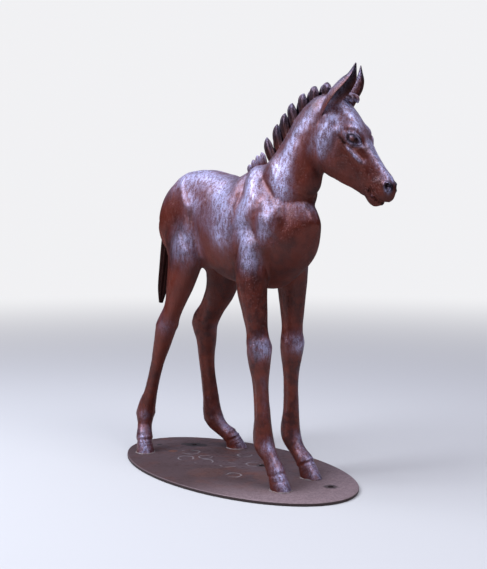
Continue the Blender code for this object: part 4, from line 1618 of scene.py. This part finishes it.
@dataclass(frozen=True)
class OiledIron:
    """Oiled rust-red cast iron, with painted shade underneath and low on the legs and a painted pale sky
    highlight on upward-facing and highlighted places.

    Attributes:
        shade: Its dark maroon, also painted as shade on downward-facing surfaces and low on the legs.
        rust: Its red-brown.
        bright: The fresh rust in grooves and low on the figure.
        hair_and_shade_black: The near-black of mane and tail, also painted as shade in the ear and nostril
            recesses, along the mouth and round the eyes.
        pale: The lavender painted as a sky highlight on highlighted and upward-facing places.
        roughness: How dull the iron is where it isn't pale.
        highlight_roughness: How dull it is where the painted highlight is pale.
        metal: How much of it shines through as bare metal.
        hair_metal: The same for hair.
        refraction: Its refractive index.
        relief: Depth of the cast skin, in metres.
        large_blotches: Scale of its large blotches.
        small_blotches: Scale of its small ones.
        shaded_shins: Heights between which the legs are painted darker as shade.
        fresh_rust: Heights between which fresh rust gathers.
        highlight_paint: How pale a place on the highlight mask is painted.
        skyward: How pale the painted sky reflection makes a place that looks up.
    """

    shade: Colour = (0.054, 0.010, 0.007, 1.0)
    rust: Colour = (0.155, 0.026, 0.014, 1.0)
    bright: Colour = (0.245, 0.044, 0.020, 1.0)
    hair_and_shade_black: Colour = (0.022, 0.009, 0.008, 1.0)
    pale: Colour = (0.500, 0.490, 0.730, 1.0)
    roughness: float = 0.30
    highlight_roughness: float = 0.36
    metal: float = 0.34
    hair_metal: float = 0.95
    refraction: float = 1.5
    relief: float = 0.0026
    large_blotches: float = 7.0
    small_blotches: float = 38.0
    shaded_shins: Spot = (0.50, 0.22)
    fresh_rust: Spot = (0.75, 0.15)
    highlight_paint: float = 0.88
    skyward: float = 0.42

    def make(self, effects: Effects) -> Material:
        """Makes the finish.

        Args:
            effects: The shared groups.

        Returns:
            The material.
        """
        made, wiring, shader = begin_finish("oiled rusty iron")
        place, upward = wiring.place(), wiring.upward()
        skin = wiring.group(effects.cast_skin, {"Vector": place, "Pits": 0.7}).outputs
        large = effects.blotched(wiring, place, self.large_blotches, 0.04)
        small = effects.blotched(wiring, place, self.small_blotches, 0.02)
        height = wiring.part(place, "Z")
        # Upward-facing places; below they take the painted pale sky reflection.
        up = wiring.span(upward, 0.05, 0.95)
        # Downward-facing places; below they are painted darker as shade, and they also gather rust and
        # roughness.
        under = wiring.span(upward, 0.15, -0.75)
        low = wiring.span(height, *self.fresh_rust)
        hair, highlight_mask, groove = wiring.mark("hair"), wiring.mark("highlight_mask"), wiring.mark("groove")
        colour = wiring.mix(wiring.times(large, 0.8), self.shade, self.rust)
        colour = wiring.mix(wiring.times(small, 0.35), colour, self.rust)
        # Painted shade: darker low on the legs and on downward-facing surfaces.
        colour = wiring.mix(wiring.times(wiring.span(height, *self.shaded_shins), 0.5), colour, self.shade)
        colour = wiring.mix(wiring.times(under, 0.5), colour, self.shade)
        reddening = wiring.sum(wiring.times(groove, 0.45), wiring.times(wiring.times(low, small), 0.45))
        reddening = wiring.sum(reddening, wiring.times(wiring.times(under, large), 0.35))
        colour = wiring.mix(wiring.times(reddening, 0.8), colour, self.bright)
        # Painted highlight: the pale sky reflection on the highlight mask and on upward-facing places, broken
        # by blotches and grain and kept out of grooves.
        painted_sheen = wiring.sum(wiring.times(highlight_mask, self.highlight_paint), wiring.times(up, self.skyward))
        ragged = wiring.times(painted_sheen, wiring.sum(wiring.times(large, 0.45), 0.62))
        speckled = wiring.times(ragged, wiring.sum(wiring.times(skin["Grain"], 0.85), 0.24))
        highlight_share = wiring.times(speckled, wiring.figure("SUBTRACT", 1.0, groove))
        # Near-black for the dark mane and tail, and painted shade in the ear and nostril recesses, along the
        # mouth and round the eyes.
        colour = wiring.mix(wiring.times(hair, 0.92), colour, self.hair_and_shade_black)
        # The painted highlight goes on, weaker where the near-black lies.
        colour = wiring.mix(wiring.times(highlight_share, wiring.level(hair, 1.0, 0.40)), colour, self.pale)
        dull = wiring.level(highlight_share, self.roughness, self.highlight_roughness)
        dull = wiring.sum(dull, wiring.sum(wiring.times(small, 0.08), wiring.times(under, 0.45)))
        wiring.feed(shader, {
            "Base Color": colour,
            "Roughness": dull,
            "Metallic": wiring.level(hair, self.metal, self.hair_metal),
            "IOR": self.refraction,
            "Normal": wiring.bump(skin["Height"], 0.75, self.relief),
        })
        return made


@dataclass(frozen=True)
class Mark:
    """A spot or stain on the plate.

    Attributes:
        centre: Its place on the plate, in metres.
        radius: How far it reaches.
        colour: Its colour.
        strength: How well it covers.
    """

    centre: Spot
    radius: float
    colour: Colour
    strength: float = 0.9


DARK_STAIN: Colour = (0.012, 0.007, 0.007, 1.0)
PALE_SCRATCH: Colour = (0.330, 0.300, 0.300, 1.0)
RUST_STAIN: Colour = (0.150, 0.055, 0.035, 1.0)
MARKS = (
    Mark(HOLES[0], 0.021, DARK_STAIN, 0.75),
    Mark(HOLES[1], 0.019, DARK_STAIN, 0.65),
    Mark(HOLES[2], 0.028, DARK_STAIN, 0.85),
    Mark((-0.285, 0.080), 0.020, DARK_STAIN, 0.75),
    Mark((-0.335, 0.050), 0.018, DARK_STAIN, 0.70),
    Mark((-0.306, 0.061), 0.017, DARK_STAIN),
    Mark((-0.384, -0.025), 0.009, DARK_STAIN),
    Mark((-0.279, -0.042), 0.016, RUST_STAIN),
    Mark((-0.243, 0.015), 0.007, DARK_STAIN),
    Mark((0.154, -0.020), 0.030, RUST_STAIN, 0.30),
    Mark((0.010, -0.120), 0.060, RUST_STAIN, 0.22),
)
SCRATCHES = tuple(
    Mark(centre, radius, PALE_SCRATCH, strength)
    for centre, radius, strength in (
        ((-0.175, -0.063), 0.026, 0.55), ((-0.148, -0.008), 0.022, 0.50), ((0.084, -0.071), 0.024, 0.55),
        ((-0.090, 0.109), 0.023, 0.50), ((-0.105, -0.045), 0.030, 0.50), ((-0.020, -0.010), 0.026, 0.50),
        ((0.020, 0.055), 0.024, 0.45), ((-0.230, -0.005), 0.028, 0.45), ((0.150, 0.060), 0.022, 0.45),
    )
)


@dataclass(frozen=True)
class WeatheredPlate:
    """The plate's dull, blotched skin, with a painted sheen near the front rim and a painted highlight on the
    rounded edge.

    Attributes:
        grey: Its grey-mauve brown.
        brown: The browner parts.
        rust: Rust that comes through.
        sheen: The painted blue-grey sheen near the front rim and on the rounded edge.
        rim: The colour of the rim's side.
        roughness: How dull the plate is.
        metal: How much of it shines through as bare metal.
        relief: Depth of its skin, in metres.
    """

    grey: Colour = (0.088, 0.052, 0.056, 1.0)
    brown: Colour = (0.052, 0.023, 0.021, 1.0)
    rust: Colour = (0.130, 0.042, 0.028, 1.0)
    sheen: Colour = (0.270, 0.190, 0.195, 1.0)
    rim: Colour = (0.040, 0.022, 0.021, 1.0)
    roughness: float = 0.66
    metal: float = 0.15
    relief: float = 0.0007

    def make(self, effects: Effects, plate: "PlateSize") -> Material:
        """Makes the finish.

        Args:
            effects: The shared groups.
            plate: The plate's size, for the marks that lie near its edge.

        Returns:
            The material.
        """
        made, wiring, shader = begin_finish("weathered plate iron")
        place, upward = wiring.place(), wiring.upward()
        skin = wiring.group(effects.cast_skin, {"Vector": place, "Pits": 0.4}).outputs
        broad = effects.blotched(wiring, place, 5.0, 0.0)
        specks = effects.blotched(wiring, place, 60.0, -0.05)
        rusty = effects.blotched(wiring, place, 14.0, -0.06)
        colour = wiring.mix(wiring.times(broad, 0.75), self.grey, self.brown)
        colour = wiring.mix(wiring.times(rusty, 0.75), colour, self.rust)
        colour = wiring.mix(wiring.times(specks, 0.50), colour, self.brown)
        inside = wiring.stretch(place, (1.0 / plate.half_length, 1.0 / plate.half_width, 0.0))
        front = wiring.span(wiring.part(inside, "X"), 0.05, 0.75)
        near_rim = wiring.times(wiring.span(wiring.away(inside), 0.35, 0.95), front)
        right = wiring.span(wiring.part(inside, "Y"), 0.1, -0.8)
        colour = wiring.mix(wiring.times(right, 0.55), colour, self.brown)
        # Painted sheen: pale blue-grey towards the front rim, broken by grain and blotches.
        painted_sheen = wiring.sum(wiring.times(skin["Grain"], 0.45), wiring.times(broad, -0.25))
        painted_sheen = wiring.times(near_rim, wiring.sum(painted_sheen, 0.55))
        colour = wiring.mix(painted_sheen, colour, self.sheen)
        for marks, shape in ((MARKS, effects.spot), (SCRATCHES, effects.crescent)):
            for mark in marks:
                inputs = {"Vector": place, "Centre": (*mark.centre, plate.top), "Radius": mark.radius}
                mask = wiring.group(shape, inputs).outputs["Mask"]
                colour = wiring.mix(wiring.times(mask, mark.strength), colour, mark.colour)
        colour = wiring.mix(wiring.span(upward, 0.55, 0.15), colour, self.rim)
        # Painted highlight: the rounded edge of the rim takes the pale sheen.
        edge = wiring.times(wiring.span(upward, 0.98, 0.85), wiring.span(upward, 0.35, 0.70))
        wiring.feed(shader, {
            "Base Color": wiring.mix(wiring.times(edge, 0.6), colour, self.sheen),
            "Roughness": wiring.sum(wiring.times(specks, 0.12), self.roughness),
            "Metallic": self.metal,
            "Normal": wiring.bump(skin["Height"], 0.6, self.relief),
        })
        return made


@dataclass(frozen=True)
class WeldMetal:
    """The pale, lumpy metal that joins hooves and plate.

    Attributes:
        pale: Its worn colour.
        rust: The rust in it.
        roughness: How dull it is.
        metal: How much of it shines through as bare metal.
        relief: Depth of its skin, in metres.
    """

    pale: Colour = (0.230, 0.190, 0.185, 1.0)
    rust: Colour = (0.150, 0.060, 0.038, 1.0)
    roughness: float = 0.6
    metal: float = 0.2
    relief: float = 0.001

    def make(self, effects: Effects) -> Material:
        """Makes the finish.

        Args:
            effects: The shared groups.

        Returns:
            The material.
        """
        made, wiring, shader = begin_finish("weld metal")
        place = wiring.place()
        skin = wiring.group(effects.cast_skin, {"Vector": place, "Pits": 0.9}).outputs
        rusty = effects.blotched(wiring, place, 70.0, 0.0)
        wiring.feed(shader, {
            "Base Color": wiring.mix(wiring.times(rusty, 0.85), self.pale, self.rust),
            "Roughness": self.roughness,
            "Metallic": self.metal,
            "Normal": wiring.bump(skin["Height"], 0.8, self.relief),
        })
        return made


def finish_piece(piece: Piece, material: Material) -> None:
    """Gives a piece its finish and the body it rides on.

    Args:
        piece: The piece.
        material: Its finish.
    """
    piece.data.materials.clear()
    piece.data.materials.append(material)
    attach(piece, Body.ROOT.value)


def evaluated(item: Piece) -> Mesh:
    """Returns a new mesh of an object with its modifiers applied."""
    bpy.context.view_layer.update()
    return bpy.data.meshes.new_from_object(item.evaluated_get(bpy.context.evaluated_depsgraph_get()))


def combine(item: Piece, other: Piece, join: Join) -> None:
    """Joins a closed shape to an object or cuts it away, and removes it.

    Args:
        item: The object that is changed.
        other: The shape.
        join: Whether it is added or cut.
    """
    boolean = item.modifiers.new(other.name, "BOOLEAN")
    boolean.operation = join.value
    boolean.solver = "MANIFOLD"
    boolean.object = other
    item.data = evaluated(item)
    item.modifiers.clear()
    bpy.data.objects.remove(other)


@dataclass
class Foal:
    """The whole foal, one casting from mane to hooves.

    Attributes:
        pattern: The pattern it is modelled on.
        trunk: Croup, barrel and chest.
        neck: The neck.
        head: Skull, jaw and muzzle.
        ears: Both ears.
        eyes: Both eyes.
        mane: Mane, tufts and forelock.
        tail: The tail.
        legs: The four legs.
        voxel: Size of the skin's faces, in pattern centimetres.
        smoothing: How often the melted skin is smoothed.
        hoof_top: Height below which the skin is made twice as fine.
        poll_end: How far along the face the finer skin of the head starts.
        head_start: X past which it lies.
        head_bottom: Height over which it lies.
        wobble: Unevenness of the cast skin, in pattern centimetres.
    """

    pattern: Pattern
    trunk: Trunk = field(default_factory=Trunk)
    neck: Neck = field(default_factory=Neck)
    head: Head = field(default_factory=Head)
    ears: Ears = field(default_factory=Ears)
    eyes: Eyes = field(default_factory=Eyes)
    mane: Mane = field(default_factory=Mane)
    tail: Tail = field(default_factory=Tail)
    legs: tuple[Leg, ...] = LEGS
    voxel: float = 0.56
    smoothing: int = 7
    hoof_top: float = 6.0
    poll_end: float = 2.0
    head_start: float = 34.0
    head_bottom: float = 78.0
    wobble: float = 0.045

    def melt(self) -> Piece:
        """Melts trunk, neck, head and legs into one soft skin.

        Returns:
            The skin.
        """
        clay = Clay()
        for part in (self.trunk, self.neck, self.head, *self.legs):
            part.shape(clay)
        made = clay.to_object("foal_casting", self.pattern)
        remesh = made.modifiers.new("one skin", "REMESH")
        remesh.mode = "VOXEL"
        remesh.voxel_size = self.voxel * self.pattern.cm
        smooth = made.modifiers.new("soft joins", "SMOOTH")
        smooth.factor = 0.5
        smooth.iterations = self.smoothing
        made.data = evaluated(made)
        made.modifiers.clear()
        return made

    def read(self, mesh: Mesh) -> tuple[np.ndarray, np.ndarray]:
        """Reads a mesh.

        Args:
            mesh: The skin.

        Returns:
            Its points in pattern centimetres and its normals.
        """
        points = np.zeros(len(mesh.vertices) * 3)
        mesh.vertices.foreach_get("co", points)
        normals = np.zeros(len(points))
        mesh.vertices.foreach_get("normal", normals)
        return self.pattern.centimetres(points.reshape(-1, 3)), normals.reshape(-1, 3)

    def write(self, mesh: Mesh, points: np.ndarray) -> None:
        """Puts points given in pattern centimetres back into a mesh."""
        mesh.vertices.foreach_set("co", (points * self.pattern.cm + np.array(self.pattern.place)).ravel())
        mesh.update()

    def carve(self, mesh: Mesh, strokes: Sequence[Stroke]) -> None:
        """Raises or sinks the skin along the strokes."""
        points, normals = self.read(mesh)
        self.write(mesh, points + normals * heights(points, strokes)[:, None])

    def refine(self, mesh: Mesh) -> None:
        """Makes the skin of head and hooves twice as fine.

        Args:
            mesh: The skin.
        """
        points, _ = self.read(mesh)
        past_poll = HEAD.local(points)[:, 0] > self.poll_end
        ahead, high = points[:, 0] > self.head_start, points[:, 2] > self.head_bottom
        fine = (points[:, 2] < self.hoof_top) | (past_poll & ahead & high)
        work = bmesh.new()
        work.from_mesh(mesh)
        work.verts.ensure_lookup_table()
        edges = [edge for edge in work.edges if all(fine[vert.index] for vert in edge.verts)]
        made = bmesh.ops.subdivide_edges(work, edges=edges, cuts=1, use_grid_fill=True, smooth=0.0)
        verts = [item for item in made["geom"] if isinstance(item, bmesh.types.BMVert)]
        every_way = {"use_axis_x": True, "use_axis_y": True, "use_axis_z": True}
        for _ in range(2):
            bmesh.ops.smooth_vert(work, verts=verts, factor=0.5, **every_way)
        work.to_mesh(mesh)
        work.free()

    def roughen(self, mesh: Mesh) -> None:
        """Gives the skin the slight unevenness of a sand casting.

        Args:
            mesh: The skin.
        """
        points, normals = self.read(mesh)
        shift = Vector((7.0, 3.0, 1.0))
        lift = []
        for point in points:
            broad = noise.noise(Vector(point) * 0.30)
            lift.append(broad + 0.5 * noise.noise(Vector(point) * 0.85 + shift))
        self.write(mesh, points + normals * (np.array(lift) * self.wobble)[:, None])

    def masks(self, tree: kdtree.KDTree, details: Sequence[Stroke]) -> dict[str, list[Stroke]]:
        """Lists what each mask of the finish shows.

        Args:
            tree: The skin's points.
            details: The finer strokes that carved the skin.

        Returns:
            The strokes of each mask by its name; their heights are strengths.
        """
        painted_shade_lines = [stroke.on_skin(tree) for stroke in self.head.painted_shade_lines()]
        highlight_paint = [stroke.on_skin(tree) for stroke in self.head.painted_highlights()]
        parts = (self.trunk, self.neck, self.ears, self.eyes, self.mane, *self.legs)
        grooves = [stroke for stroke in details if stroke.height < 0]
        # The first mask is the dark mane and tail together with painted shade in the ear and nostril
        # recesses, along the mouth and round the eyes; the second is painted pale highlight.
        return {
            "hair": self.mane.hair() + self.tail.hair() + self.ears.shaded_hollows() + self.head.shaded_hollows() + painted_shade_lines,
            "highlight_mask": highlight_paint + [stroke for part in parts for stroke in part.painted_highlights()],
            "groove": [Stroke(stroke.path, stroke.radius, -2.0 * stroke.height) for stroke in grooves],
        }

    def skin_tree(self, mesh: Mesh) -> kdtree.KDTree:
        """Sorts the skin's points for searches.

        Args:
            mesh: The skin.

        Returns:
            The points in pattern centimetres.
        """
        points, _ = self.read(mesh)
        tree = kdtree.KDTree(len(points))
        for number, point in enumerate(points):
            tree.insert(point, number)
        tree.balance()
        return tree

    def ground(self) -> Piece:
        """Makes the block that levels the hooves.

        Returns:
            The block, with its top at the pattern's ground.
        """
        bpy.ops.mesh.primitive_cube_add(size=1.0, location=self.pattern.place - Vector((0.0, 0.0, 0.5)))
        made = bpy.context.object
        made.name = "ground"
        made.scale = (3.0, 3.0, 1.0)
        return made

    def paint(self, mesh: Mesh, details: Sequence[Stroke]) -> None:
        """Writes the masks that the finish reads: the dark mane and tail together with painted shade, the
        painted highlight, and the grooves.

        Args:
            mesh: The skin.
            details: The finer strokes that carved it.
        """
        points, _ = self.read(mesh)
        for name, strokes in self.masks(self.skin_tree(mesh), details).items():
            value = np.clip(heights(points, strokes), 0.0, 1.0)
            mesh.attributes.new(name, "FLOAT", "POINT").data.foreach_set("value", value)

    def build(self) -> Piece:
        """Makes the whole casting.

        Returns:
            The casting.
        """
        made = self.melt()
        self.carve(made.data, [*self.trunk.forms(), *self.head.forms()])
        self.refine(made.data)
        tree = self.skin_tree(made.data)
        parts = (self.trunk, self.neck, self.head, *self.legs)
        details = [stroke.on_skin(tree) for part in parts for stroke in part.details()]
        self.carve(made.data, details)
        self.roughen(made.data)
        for source in (self.ears, self.eyes, self.mane, self.tail):
            for body in source.bodies(self.pattern):
                combine(made, body, Join.UNION)
        for cutter in self.head.cutters(self.pattern):
            combine(made, cutter, Join.CUT)
        combine(made, self.ground(), Join.CUT)
        self.paint(made.data, details)
        made.data.shade_smooth()
        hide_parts("foal")
        return made

    def dress(self, piece: Piece, effects: Effects) -> None:
        """Gives the casting its oiled rust."""
        finish_piece(piece, OiledIron().make(effects))


@dataclass(frozen=True)
class PlateSize:
    """The plate's size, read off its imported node.

    Attributes:
        half_length: Half its length.
        half_width: Half its width.
        top: Height of its top face.
    """

    half_length: float
    half_width: float
    top: float

    @classmethod
    def from_node(cls, node: str) -> "PlateSize":
        """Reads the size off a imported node."""
        low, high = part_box(node)
        return cls((high.x - low.x) / 2, (high.y - low.y) / 2, high.z)


@dataclass
class Plate:
    """The oval plate with its rounded rim, its holes and the welds round the hooves.

    Attributes:
        size: Its outline and thickness.
        sides: How many straight pieces make the rim.
        rounding: How far the rim's edges are rounded.
        hole: Radius of a fixing hole.
        holes: Middle of each fixing hole.
        bead: Half thickness of a weld bead.
        bead_wobble: How uneven it is, as a share of that.
        bead_faces: How many faces it has along its ring and round itself.
    """

    size: PlateSize
    sides: int = 192
    rounding: float = 0.003
    hole: float = 0.009
    holes: tuple[Spot, ...] = HOLES
    bead: float = 0.0034
    bead_wobble: float = 0.35
    bead_faces: tuple[int, int] = (72, 10)

    def build(self) -> Piece:
        """Makes the plate.

        Returns:
            The plate.
        """
        thickness = self.size.top
        bpy.ops.mesh.primitive_cylinder_add(
            vertices=self.sides, radius=1.0, depth=thickness, location=(0.0, 0.0, thickness / 2)
        )
        made = bpy.context.object
        made.name = "oval_plate"
        made.scale = (self.size.half_length, self.size.half_width, 1.0)
        bpy.ops.object.transform_apply(location=True, rotation=False, scale=True)
        bevel = made.modifiers.new("worn rim", "BEVEL")
        bevel.width = self.rounding
        bevel.segments = 5
        bevel.limit_method = "ANGLE"
        for x, y in self.holes:
            bpy.ops.mesh.primitive_cylinder_add(
                vertices=48, radius=self.hole, depth=3 * thickness, location=(x, y, thickness / 2)
            )
            combine(made, bpy.context.object, Join.CUT)
        made.data.shade_smooth()
        made.data.set_sharp_from_angle(angle=math.radians(40.0))
        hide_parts("base_plate")
        return made

    def weld(self, leg: Leg, pattern: Pattern) -> Piece:
        """Makes the bead that runs round one hoof.

        Args:
            leg: The leg whose hoof it is.
            pattern: Where the pattern stands in the frame.

        Returns:
            The bead, sunk to its middle in the plate.
        """
        turn = Matrix.Rotation(math.radians(leg.toe_out), 3, "Z")
        first = turn @ Vector((leg.hoof_length * 0.51 * pattern.cm, 0.0, 0.0))
        second = turn @ Vector((0.0, leg.hoof_width * 0.53 * pattern.cm, 0.0))
        centre = pattern.matrix() @ Vector(leg.tread)
        centre.z = self.size.top
        around, across = self.bead_faces
        work = bmesh.new()
        loops = []
        for number in range(around):
            angle = math.tau * number / around
            outward = first * math.cos(angle) + second * math.sin(angle)
            seed = Vector((math.cos(angle) * 3.0, math.sin(angle) * 3.0, leg.tread[0]))
            thick = self.bead * (1.0 + self.bead_wobble * noise.noise(seed))
            away = outward.normalized()
            loop = []
            for corner in range(across):
                round_bead = math.tau * corner / across
                lift = Vector((0.0, 0.0, thick * 0.8 * math.sin(round_bead)))
                loop.append(work.verts.new(centre + outward + away * thick * math.cos(round_bead) + lift))
            loops.append(loop)
        for number, loop in enumerate(loops):
            following = loops[(number + 1) % around]
            for corner in range(across):
                after = (corner + 1) % across
                work.faces.new((loop[corner], loop[after], following[after], following[corner]))
        bmesh.ops.recalc_face_normals(work, faces=work.faces)
        name = f"{leg.name}_weld"
        data = bpy.data.meshes.new(name)
        work.to_mesh(data)
        work.free()
        data.shade_smooth()
        return new_object(name, data)

    def dress(self, piece: Piece, welds: Sequence[Piece], effects: Effects) -> None:
        """Gives the plate and the welds their finishes.

        Args:
            piece: The plate.
            welds: The welds.
            effects: The shared groups.
        """
        finish_piece(piece, WeatheredPlate().make(effects, self.size))
        metal = WeldMetal().make(effects)
        for weld in welds:
            finish_piece(weld, metal)


@dataclass(frozen=True)
class Lamp:
    """A soft rectangular light that points at the middle of the figure.

    Attributes:
        name: Its name.
        place: Where it hangs.
        size: Length of its sides.
        power: Its power in watts.
        colour: Its colour.
    """

    name: str
    place: Point
    size: float
    power: float
    colour: tuple[float, float, float]


@dataclass
class Studio:
    """Pale floor, soft lights and the camera of the photo's view.

    Attributes:
        target: What the camera looks at.
        azimuth: Its direction round the figure, in degrees.
        elevation: Its height over the horizon, in degrees.
        distance: How far it stands from the target.
        lens: Its focal length in millimetres.
        floor_radius: Reach of the floor.
        fade_start: How far from the figure the floor starts to fade into the backdrop.
        fade_reach: How far from it the floor has faded.
        floor_colour: Its colour.
        backdrop: Colour behind the figure, as the camera sees it.
        horizon: Colour of the surroundings at the horizon, as the iron mirrors them.
        zenith: Their colour overhead.
        sky_strength: How bright they are overhead.
        lamps: The lights.
    """

    target: Point = (0.0492, -0.0071, 0.574)
    azimuth: float = 51.6
    elevation: float = 4.0
    distance: float = 3.0
    lens: float = 63.14
    floor_radius: float = 40.0
    fade_start: float = 1.2
    fade_reach: float = 7.0
    floor_colour: Colour = (0.60, 0.59, 0.56, 1.0)
    backdrop: Colour = (0.88, 0.88, 0.90, 1.0)
    horizon: Colour = (0.045, 0.035, 0.035, 1.0)
    zenith: Colour = (0.68, 0.70, 0.92, 1.0)
    sky_strength: float = 0.8
    lamps: tuple[Lamp, ...] = (
        Lamp("sky", (-0.8, -1.4, 3.3), 2.3, 98.0, (0.80, 0.86, 1.0)),
        Lamp("left", (-0.9, -3.0, 2.7), 1.6, 66.0, (0.80, 0.86, 1.0)),
        Lamp("front", (2.4, 0.1, 3.3), 1.7, 55.0, (0.88, 0.90, 1.0)),
    )

    def build(self) -> None:
        """Builds floor, surroundings, lights and camera."""
        bpy.ops.mesh.primitive_circle_add(vertices=96, radius=self.floor_radius, fill_type="NGON")
        floor = bpy.context.object
        floor.name = "floor"
        floor.data.materials.append(self.floor_paint())
        lights = [self.light(lamp) for lamp in self.lamps]
        self.surroundings()
        self.camera()
        bpy.context.scene.view_settings.view_transform = "Standard"

    def floor_paint(self) -> Material:
        """Makes the floor's pale paint, which fades into the backdrop far from the figure.

        Returns:
            The material.
        """
        paint, wiring, shader = begin_finish("pale floor")
        far = wiring.span(wiring.away(wiring.place()), self.fade_start, self.fade_reach)
        seen = wiring.add("ShaderNodeLightPath").outputs["Is Camera Ray"]
        wiring.feed(shader, {
            "Base Color": wiring.mix(far, self.floor_colour, BLACK),
            "Emission Color": wiring.mix(wiring.times(far, seen), BLACK, self.backdrop),
            "Emission Strength": 1.0,
            "Specular IOR Level": 0.0,
            "Roughness": 0.9,
        })
        return paint

    def surroundings(self) -> None:
        """Gives the iron a sky to mirror and the camera a plain pale backdrop."""
        world = bpy.data.worlds.new("surroundings")
        world.use_nodes = True
        wiring = Wiring(world.node_tree)
        direction = wiring.add("ShaderNodeTexCoord").outputs["Generated"]
        height = wiring.add("ShaderNodeSeparateXYZ", {0: direction}).outputs["Z"]
        colour = wiring.mix(wiring.span(height, 0.12, 0.85), self.horizon, self.zenith)
        mirrored = wiring.add("ShaderNodeBackground", {"Color": colour, "Strength": self.sky_strength})
        seen = wiring.add("ShaderNodeBackground", {"Color": self.backdrop, "Strength": 1.0})
        camera = wiring.add("ShaderNodeLightPath").outputs["Is Camera Ray"]
        both = wiring.add("ShaderNodeMixShader", {0: camera, 1: mirrored.outputs[0], 2: seen.outputs[0]})
        wiring.tree.links.new(both.outputs[0], world.node_tree.nodes["World Output"].inputs["Surface"])
        bpy.context.scene.world = world

    def light(self, lamp: Lamp) -> Piece:
        """Makes one light.

        Args:
            lamp: What it is like.

        Returns:
            The light, turned towards the target.
        """
        data = bpy.data.lights.new(lamp.name, "AREA")
        data.size = lamp.size
        data.energy = lamp.power
        data.color = lamp.colour
        made = new_object(lamp.name, data)
        made.location = lamp.place
        made.rotation_euler = (Vector(self.target) - Vector(lamp.place)).to_track_quat("-Z", "Y").to_euler()
        return made

    def camera(self) -> None:
        """Adds the camera."""
        turn, rise = math.radians(self.azimuth), math.radians(self.elevation)
        away = Vector((math.sin(turn) * math.cos(rise), -math.cos(turn) * math.cos(rise), math.sin(rise)))
        data = bpy.data.cameras.new("photo view")
        data.lens = self.lens
        made = new_object("photo view", data)
        made.location = Vector(self.target) + away * self.distance
        made.rotation_euler = (-away).to_track_quat("-Z", "Y").to_euler()
        bpy.context.scene.camera = made


def report(piece: Piece) -> None:
    """Logs a piece and how many triangles it has."""
    triangles = sum(len(face.vertices) - 2 for face in piece.data.polygons)
    LOG.info("%s: %d triangles", piece.name, triangles)


def main() -> None:
    """Builds and dresses the foal and its plate and writes how large they came out."""
    logging.basicConfig(level=logging.INFO, format="%(message)s")
    effects = Effects()
    pattern = Pattern.from_node("foal")
    foal = Foal(pattern)
    casting = foal.build()
    foal.dress(casting, effects)
    report(casting)
    plate = Plate(PlateSize.from_node("base_plate"))
    oval = plate.build()
    welds = [plate.weld(leg, pattern) for leg in foal.legs]
    plate.dress(oval, welds, effects)
    for piece in (oval, *welds):
        report(piece)
    Studio().build()


if __name__ == "__main__":
    main()
